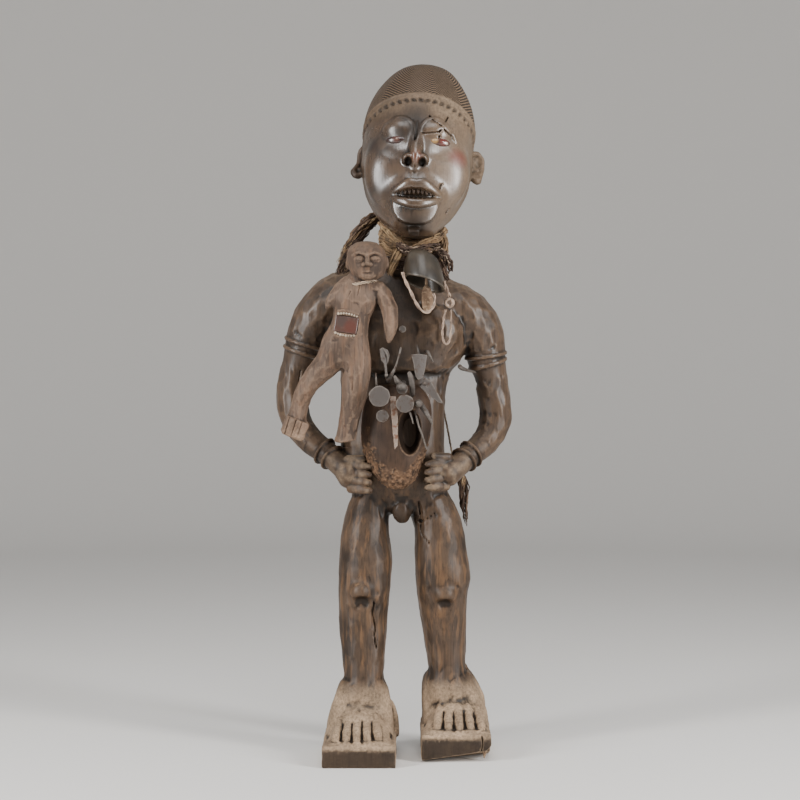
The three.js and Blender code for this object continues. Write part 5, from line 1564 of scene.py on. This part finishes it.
# Irons driven in round the pack.
NAILS = {  # middle of the head, its radius, its thickness, depth of the shank
    "large_round_head_nail": ((-24, -101, 433), 12.3, 3.2, 62),
    "middle_round_head_nail": ((5.8, -99, 424.4), 10.6, 3.2, 62),
    "small_round_head_nail": ((-20.6, -88, 410), 7.4, 3, 50),
    "domed_nail": ((2.6, -84, 442), 6.6, 4.5, 46),
    "chest_nail": ((3, -58, 513), 4.2, 2.4, 30),
    "ball_head_nail": ((21.8, -93, 424.6), 4.6, 9.2, 53),
}
SPIKES = {
    "horn_shaped_spike": [(-6, -86, 456, 1.6, 1.6), (-3.5, -84, 451, 3.2, 3), (1, -76, 447, 3.6, 3.4),
                          (4, -60, 449, 3, 3), (4, -32, 450, 2, 2)],
    "thick_peg": [(11, -84, 460, 2.2, 2.2), (12.5, -84, 455, 3.2, 3.2), (14.5, -80, 444, 3.2, 3.2),
                  (14.5, -66, 436, 3, 3), (14, -30, 434, 2.4, 2.4)],
    "slender_spike": [(1, -80, 489.5, 1.3, 1.3), (-1.8, -80, 479, 1, 1), (-5.8, -78, 466.6, 1.3, 1.3),
                      (-11, -74, 457, 2.6, 2.4), (-14, -60, 452, 2.6, 2.6), (-14, -30, 451, 1.8, 1.8)],
    "thin_spike": [(-28.5, -78, 460, 0.8, 0.8), (-28, -76, 450, 1.2, 1.2), (-27, -64, 443, 1.4, 1.4),
                   (-25, -30, 441, 1.2, 1.2)],
    "curved_wire": [(31.3, -72, 371, 0.9, 0.9), (26.6, -78, 386, 1.1, 1.1), (21.9, -82, 399, 1.2, 1.2),
                    (18.4, -76, 413, 1.3, 1.3), (18, -32, 416, 1.2, 1.2)],
    "thin_nail": [(15.5, -84, 401, 0.7, 0.7), (13, -84, 410, 1.1, 1.1), (11.5, -74, 414, 1.2, 1.2),
                  (11, -32, 414, 1.1, 1.1)],
    "iron_claw": [(38, -86, 400, 0.8, 1), (35, -88, 407, 3, 2.2), (30, -86, 415, 3.8, 3),
                  (25.5, -76, 422, 3.2, 3), (25, -30, 426, 2, 2)],
    "hooked_tack": [(39, -60, 474, 0.8, 0.8), (36, -64, 480, 1.6, 1.4), (33, -60, 486, 1.8, 1.6),
                    (31, -40, 487, 1.4, 1.4)],
    "armpit_nail": [(72, -26, 469, 3, 2.4), (75, -23, 467, 2.6, 2.4), (84, -12, 464, 1.6, 1.6),
                    (98, 2, 462, 1.4, 1.4)],
}
BLADES = {  # outline, thickness, place, turn, tang
    "folded_blade": ([(-6, 8), (-2, 10), (4.5, 7), (7, 1), (5, -7.5), (3, -10), (4, -25), (1.6, -25),
                      (0, -10), (-4, -5)],
                     2, (-18.5, -80, 480.5), (0, 0, 24), ((-16, -80, 458), (-16, -32, 455))),
    "flared_blade": ([(-10.5, 14.5), (-2, 15.5), (9, 14.5), (6.5, -1), (4, -12), (-2, -15.5),
                      (-5.5, -12), (-8, 5)],
                     1.8, (23.5, -80, 467.5), (-6, 0, 14), ((23, -80, 456), (22, -32, 455))),
    "pointed_blade": ([(-10, 14.5), (-14.5, 3.5), (6, -15), (13, -17), (6, -4), (-2, 10)],
                      1.8, (38.2, -82, 441), (0, 0, -10), ((29, -81, 448), (27, -32, 447))),
    "rusty_blade": ([(-4, 31), (3, 31.5), (5, 8), (5.4, -27), (1.8, -31.5), (-0.6, -10)],
                    2.6, (-8, -88, 402), (-9, 0, 12), ((-8.5, -84, 428), (-8, -32, 426))),
}


def block_round(points, step=0.55, margin=4.0):
    """A fine block that takes in some points."""
    points = np.array(points, float)
    low, high = points.min(0) - margin, points.max(0) + margin
    return Wood(*(np.arange(a, b, step) for a, b in zip(low, high)))


for name, ((x, y, z), radius, thick, deep) in NAILS.items():
    iron = block_round([(x - radius, y - 4, z - radius), (x + radius, y + deep, z + radius)], 0.6)
    if name == "ball_head_nail":
        iron.egg((x, y, z), (radius, radius, radius))
        iron.egg((x - 1, y - 4, z + 1), (2.4, 1.2, 2.2), soft=0.8)
        iron.limb([(x, y, z, 1.8, 1.8), (x - 3, y + deep, z + 2, 1.5, 1.5)], face=LEVEL, step=12)
    else:
        iron.disc((x, y, z), radius, thick, turned(4, 0, 3), 0.7)
        if name == "domed_nail":
            iron.egg((x - 1, y - 1, z + 2), (radius * 0.92, 5.5, radius * 0.8), soft=1.5)
        shank = [(x, y + 3, z, radius * 0.26, radius * 0.26),
                 (x * 0.8, y + deep, z - 2, radius * 0.2, radius * 0.2)]
        iron.limb(shank, face=LEVEL, step=12)
    carved(name + "_forging", iron, forged_iron, "iron", name, rough=0.12)

for name, rows in SPIKES.items():
    iron = block_round([row[:3] for row in rows])
    iron.limb(rows, face=(1, 0, 0), power=2.5, step=2.5)
    carved(name + "_forging", iron, forged_iron, "iron", name, rough=0.14)

for name, (outline, thick, at, turn, tang) in BLADES.items():
    rusty = name == "rusty_blade"
    x, y, z = at
    reach = max(max(abs(a), abs(b)) for a, b in outline)
    corners = [(x + a * reach, y + b * 8, z + a * reach) for a in (-1, 1) for b in (-1, 1)]
    iron = block_round(corners + [tang[1]])
    iron.plate(outline, thick, at, turned(*turn), bend=0.0 if rusty else 0.012)
    iron.limb([(*tang[0], 2.2, 2.2), (*tang[1], 1.6, 1.6)], face=LEVEL, soft=1, step=10)
    if name == "folded_blade":
        fold = [(x - 1, y - 1.6, z + 8, 0.9, 0.7), (x + 3.5, y - 1.2, z + 1, 1.2, 0.9),
                (x + 4, y, z - 7, 0.8, 0.7)]
        iron.limb(fold, soft=0.8, step=2)
    if name == "pointed_blade":
        notch = [(x - 6, y - 4, z + 4, 0.9, 0.9), (x - 6, y + 4, z + 4, 0.9, 0.9)]
        iron.limb(notch, face=LEVEL, step=4, away=True)
    finish, slot, rough = (rusted_iron, "rusted_iron", 0.3) if rusty else (forged_iron, "iron", 0.12)
    carved(name + "_forging", iron, finish, slot, name, rough=rough)

# Splinter left under the worn block.
SPLINTER = [(100, -56, 25, 3, 2.5), (100.5, -59, 12, 2.4, 2), (100, -60, 3, 0.6, 0.6)]
splinter = block_round([row[:3] for row in SPLINTER])
splinter.limb(SPLINTER, power=2.5)
carved("splinter_carving", splinter, split_wood, "raw_wood", "foot_splinter", rough=0.3)


# Glass set over paint.
def glass_finish(name, ground, patches, vein):
    """Clouded glass over a painted ground, whose patches lie at places of the piece in millimetres."""
    finish, tree, surface, place = new_finish(name, 0.22, IOR=1.5, Coat_Weight=0.3, Coat_Roughness=0.1)
    cloud = add(tree, NOISE, {"Vector": place, "Scale": PER_MM / 4, "Detail": 6.0})
    layers = [(add(tree, RANGE, {0: cloud, 1: 0.5, 2: 0.7, 4: 0.7}), vein)]
    for at, radius, code in patches:
        far = add(tree, VECTOR, {0: place, 1: tuple(metres(at))}, operation="DISTANCE").outputs["Value"]
        layers.append((add(tree, RANGE, {0: far, 1: radius / 1000, 2: radius / 2000}), code))
    tree.links.new(layered(tree, shade(ground), *layers), surface.inputs["Base Color"])
    return finish


def eye_block(side):
    """The glass of an eye, let into its slit."""
    x, z = EYES[side]
    wood = block_round([from_head((x - 16, -70, z - 8)), from_head((x + 16, -50, z + 8))], 0.6)
    turn = HEAD_TURN @ turned(0, 0, 18 * side)
    wood.egg(from_head((x, face_front(x, z) + 1.2, z - 0.4)), (12.5, 4.2, 5.0), turn)
    return wood


def eye_place(x, z):
    """A place of the face behind an eye's glass: where paint shows through it, and on the left eye where its
    highlight is painted.
    """
    return from_head((x, face_front(x, z) - 3, z))


# Glass dulled by smoke over dark paint: brown and low in gloss, with one small pale spot.
dim_eye = glass_finish("smoked_eye_glass", "#2e1f1b", [
    (eye_place(-27, -1.5), 6, "#432720"), (eye_place(-26, -1.5), 1.4, "#7d6a5c")], "#1d120f")
# Glass over ochre and red paint: brighter, with a painted highlight at its outer corner.
bright_eye = glass_finish("painted_eye_glass", "#3a261e", [
    (eye_place(19, -1.5), 5.5, "#86683f"), (eye_place(30, -2), 7, "#54221b"),
    (eye_place(33, -3.4), 2.4, "#a39789")], "#4a2a20")
carved("right_eye_glass", eye_block(-1), dim_eye, "eye_glass", "eye_right")
carved("left_eye_glass", eye_block(1), bright_eye, "eye_glass", "eye_left")


def window_block():
    """The pane in the small figure's belly."""
    x, y, z = WINDOW["at"]
    wood = block_round([(x - 16, y - 3, z - 14), (x + 16, y + 6, z + 14)], 0.6)
    size = (WINDOW["wide"] - PANE["narrower"], PANE["thick"], WINDOW["high"] - PANE["narrower"])
    wood.bar((x, y + PANE["behind"], z), size, turned(0, WINDOW["lean"], 0), 1.2)
    return wood


# Old clouded glass over red earth: a dim brown pane with greyer veins.
window_glass = glass_finish("old_glass_over_red_earth", "#432f29", [
    ((-68, -86, 521), 9, "#3d312d"), ((-58, -86, 514), 10, "#4a2d26")], "#54423b")
carved("window_pane", window_block(), window_glass, "window_glass", "belly_window", rough=0.15, grit=6)


def bead_tree():
    """Beads set in a row along a core: how many, how big and how uneven."""
    tree, given = new_tree("beads_along_cores", "Row", Cores="Geometry", Spacing="Float", Radius="Float",
                           Uneven="Float", Seed="Int", Finish="Material")
    core = add(tree, "GeometryNodeMeshToCurve", {0: given["Cores"]})
    spots = add(tree, "GeometryNodeCurveToPoints", {0: core, "Length": given["Spacing"]}, mode="LENGTH")
    bead = add(tree, "GeometryNodeMeshIcoSphere", {"Radius": given["Radius"], "Subdivisions": 2})
    least = add(tree, MATH, {0: 1.0, 1: given["Uneven"]}, operation="SUBTRACT")
    size = add(tree, RANDOM, {2: least, 3: 1.0, 8: given["Seed"]}).outputs[1]
    row = add(tree, "GeometryNodeInstanceOnPoints", {
        "Points": spots.outputs["Points"], "Instance": bead, "Scale": size})
    real = add(tree, "GeometryNodeRealizeInstances", {0: row})
    smooth = add(tree, "GeometryNodeSetShadeSmooth", {0: real})
    done = add(tree, "GeometryNodeSetMaterial", {0: smooth, "Material": given["Finish"]})
    add(tree, "NodeGroupOutput", {0: done})
    return tree


BEADS = bead_tree()
bead_rows = [with_radius(arc, 1.0) for arc in window_arcs(1.6, 13, (-11, -4, 4, 11))]
beads = worked_along("window_beads", BEADS, bead_rows, 1.0, {
    "Spacing": 0.0029, "Radius": 0.0018, "Uneven": 0.35, "Seed": 4, "Finish": bone})
dressed(beads, None, "small_figure_wood")


# Neck: bindings of raffia strips and twine, their knots and hanging ends.
def neck_ring(wide, deep, z, rise, radius, turns=1.06, start=-1.2, wave=0.0, seed=0):
    """A core round the neck, a little more than once, lower in front than at the nape."""
    rows = []
    for i, t in enumerate(np.linspace(start, start + turns * 2 * math.pi, 30)):
        up = wave * math.sin(2.3 * i + seed)
        rows.append((13 + wide * math.cos(t), 3 + deep * math.sin(t), z + rise * math.sin(t) + up, radius))
    return rows


binding = [neck_ring(34, 36, z, 14, 4.6, wave=1.0, seed=i, start=-1.2 + i)
           for i, z in enumerate((617, 625, 633))]
strips = [[(-24, -24, 642, 2.5), (-14, -46, 630, 3), (0, -58, 616, 3), (6, -60, 604, 3)],
          [(54, -26, 634, 3), (44, -46, 622, 4), (24, -58, 612, 3.5), (8, -61, 604, 2.5)],
          [(46, -16, 636, 4), (51, -26, 622, 6), (52, -32, 606, 5.5), (52, -38, 594, 3)]]
strands("neck_binding_strips", binding + strips, raffia, "raffia_binding", "neck_binding", Fibres=40,
        Thickness=0.0011, Loose=0.007, Curl=110.0, Turns_per_metre=3.0, Ragged=0.45, Sides=4, Seed=2)
netting = [[(-2, -62, 612, 4), (14, -68, 604, 5), (34, -68, 608, 5), (50, -58, 610, 4)],
           [(48, -58, 606, 3), (57, -50, 594, 4), (60, -44, 580, 3)]]
nets = (("knotted_netting", old_twine, 0.0014, 21), ("netting_ends", pale_twine, 0.0010, 22))
for name, finish, thick, seed in nets:
    strands(name, netting, finish, "dark_cord", Fibres=16, Thickness=thick, Loose=0.011, Curl=190.0,
            Ragged=0.6, Sides=4, Seed=seed, step=1.5)
necklace = []
for i in range(4):
    wide, deep = 41 + 2 * math.cos(i * 2.2), 44 + 2 * math.sin(i * 2.2)
    necklace.append(neck_ring(wide, deep, 601 + 3.2 * (i - 1.5), 9, 2.0, wave=1.4, seed=3 * i, start=i))
strands("necklace_cords", necklace, old_twine, "dark_cord", "cord_necklace", Fibres=5, Thickness=0.0011,
        Order=0.6, Loose=0.002, Turns_per_metre=60.0, Sides=5, Seed=3)
small_ring = [[(-44.5 + 17 * math.cos(t), -71 + 15.5 * math.sin(t), 566 + 3 * math.cos(t), 1.3)
               for t in np.linspace(0.1, 2 * math.pi + 0.25, 26)],
              [(-29, -70, 569, 1.2), (-24, -60, 580, 1.2)]]
strands("small_figure_twine", small_ring, pale_twine, "dark_cord", "small_figure_cord", Fibres=3,
        Thickness=0.0010, Order=1.0, Turns_per_metre=75.0, Sides=5, step=1.2)
tuft = [[(0, -56, 606, 4), (-4, -64, 597, 5.6), (-9, -66, 586, 5), (-13, -66, 575, 3.6)]]
strands("raffia_tuft_strips", tuft, raffia, "raffia_binding", "raffia_tuft", Fibres=60, Thickness=0.001,
        Loose=0.006, Ragged=0.4, Sides=4, Seed=5, Turns_per_metre=4.0)
hank = [[(-12, 38, 660, 5), (-30, 28, 654, 6.5), (-46, 15, 638, 7.6), (-60, 3, 613, 8.6), (-69, -7, 588, 8),
         (-74, -12, 574, 5)]]
strands("raffia_hank_fibres", hank, old_twine, "dark_cord", "raffia_hank", Fibres=150, Thickness=0.001,
        Loose=0.009, Curl=100.0, Ragged=0.3, Sides=4, Seed=6, Turns_per_metre=5.0)
strands("hank_pale_fibres", hank, raffia, "raffia_binding", Fibres=34, Thickness=0.0009, Loose=0.014,
        Curl=120.0, Ragged=0.5, Sides=4, Seed=16, Turns_per_metre=4.0)
twigs = [[(45, -28, 606, 4), (48, -30, 594, 4.5), (52, -30, 582, 4), (58, -30, 571, 3)]]
strands("twig_bundle_fibres", twigs, old_twine, "dark_cord", "twig_bundle", Fibres=40, Thickness=0.0012,
        Loose=0.010, Ragged=0.5, Sides=4, Seed=7)

# Plain pale floor that rises all round into a backdrop, and soft light.
FLOOR_RADIUS, FLOOR_BEND, FLOOR_HIGH = 3.0, 1.6, 3.2
FLOOR_SIDES = 96
turns = np.linspace(0, math.pi / 2, 13)
section = [(0.02, 0.0), (1.0, 0.0), (2.0, 0.0)] + [
    (FLOOR_RADIUS + FLOOR_BEND * math.sin(t), FLOOR_BEND * (1 - math.cos(t))) for t in turns]
section.append((FLOOR_RADIUS + FLOOR_BEND, FLOOR_HIGH))
around = np.linspace(0, 2 * math.pi, FLOOR_SIDES, endpoint=False)
floor_mesh = bpy.data.meshes.new("floor")
floor_faces = []
for start in range(0, (len(section) - 1) * FLOOR_SIDES, FLOOR_SIDES):
    for j in range(FLOOR_SIDES):
        after = (j + 1) % FLOOR_SIDES
        floor_faces.append((start + j, start + after, start + FLOOR_SIDES + after, start + FLOOR_SIDES + j))
floor_faces.append(tuple(range(FLOOR_SIDES - 1, -1, -1)))
floor_mesh.from_pydata(
    [(r * math.cos(a), r * math.sin(a), z) for r, z in section for a in around], [], floor_faces)
floor_mesh.shade_smooth()
floor = bpy.data.objects.new("floor", floor_mesh)
bpy.context.scene.collection.objects.link(floor)
# Matt studio paint: pale and without gloss.
floor_paint, _, floor_surface, _ = new_finish("pale_studio_floor", 0.85)
floor_surface.inputs["Base Color"].default_value = shade("#d6d3cf")
floor_mesh.materials.append(floor_paint)
world = bpy.data.worlds.new("studio")
bpy.context.scene.world = world
world.use_nodes = True
world.node_tree.nodes["Background"].inputs["Color"].default_value = shade("#e6e8ea")
world.node_tree.nodes["Background"].inputs["Strength"].default_value = 0.55


def soft_box(name, at, toward, size, power):
    """A large soft lamp that faces a place of the figure."""
    lamp = bpy.data.lights.new(name, "AREA")
    lamp.shape = "RECTANGLE"
    lamp.size, lamp.size_y = size
    lamp.energy = power
    box = bpy.data.objects.new(name, lamp)
    box.location = at
    box.rotation_euler = (Vector(toward) - Vector(at)).to_track_quat("-Z", "Y").to_euler()
    bpy.context.scene.collection.objects.link(box)


soft_box("left_soft_box", (-1.5, -1.15, 0.85), (0, 0, 0.5), (0.34, 1.5), 52)
soft_box("right_soft_box", (1.5, -1.15, 0.85), (0, 0, 0.5), (0.34, 1.5), 60)
soft_box("top_soft_box", (0, -1.2, 2.4), (0, 0, 0.4), (1.6, 1.2), 34)
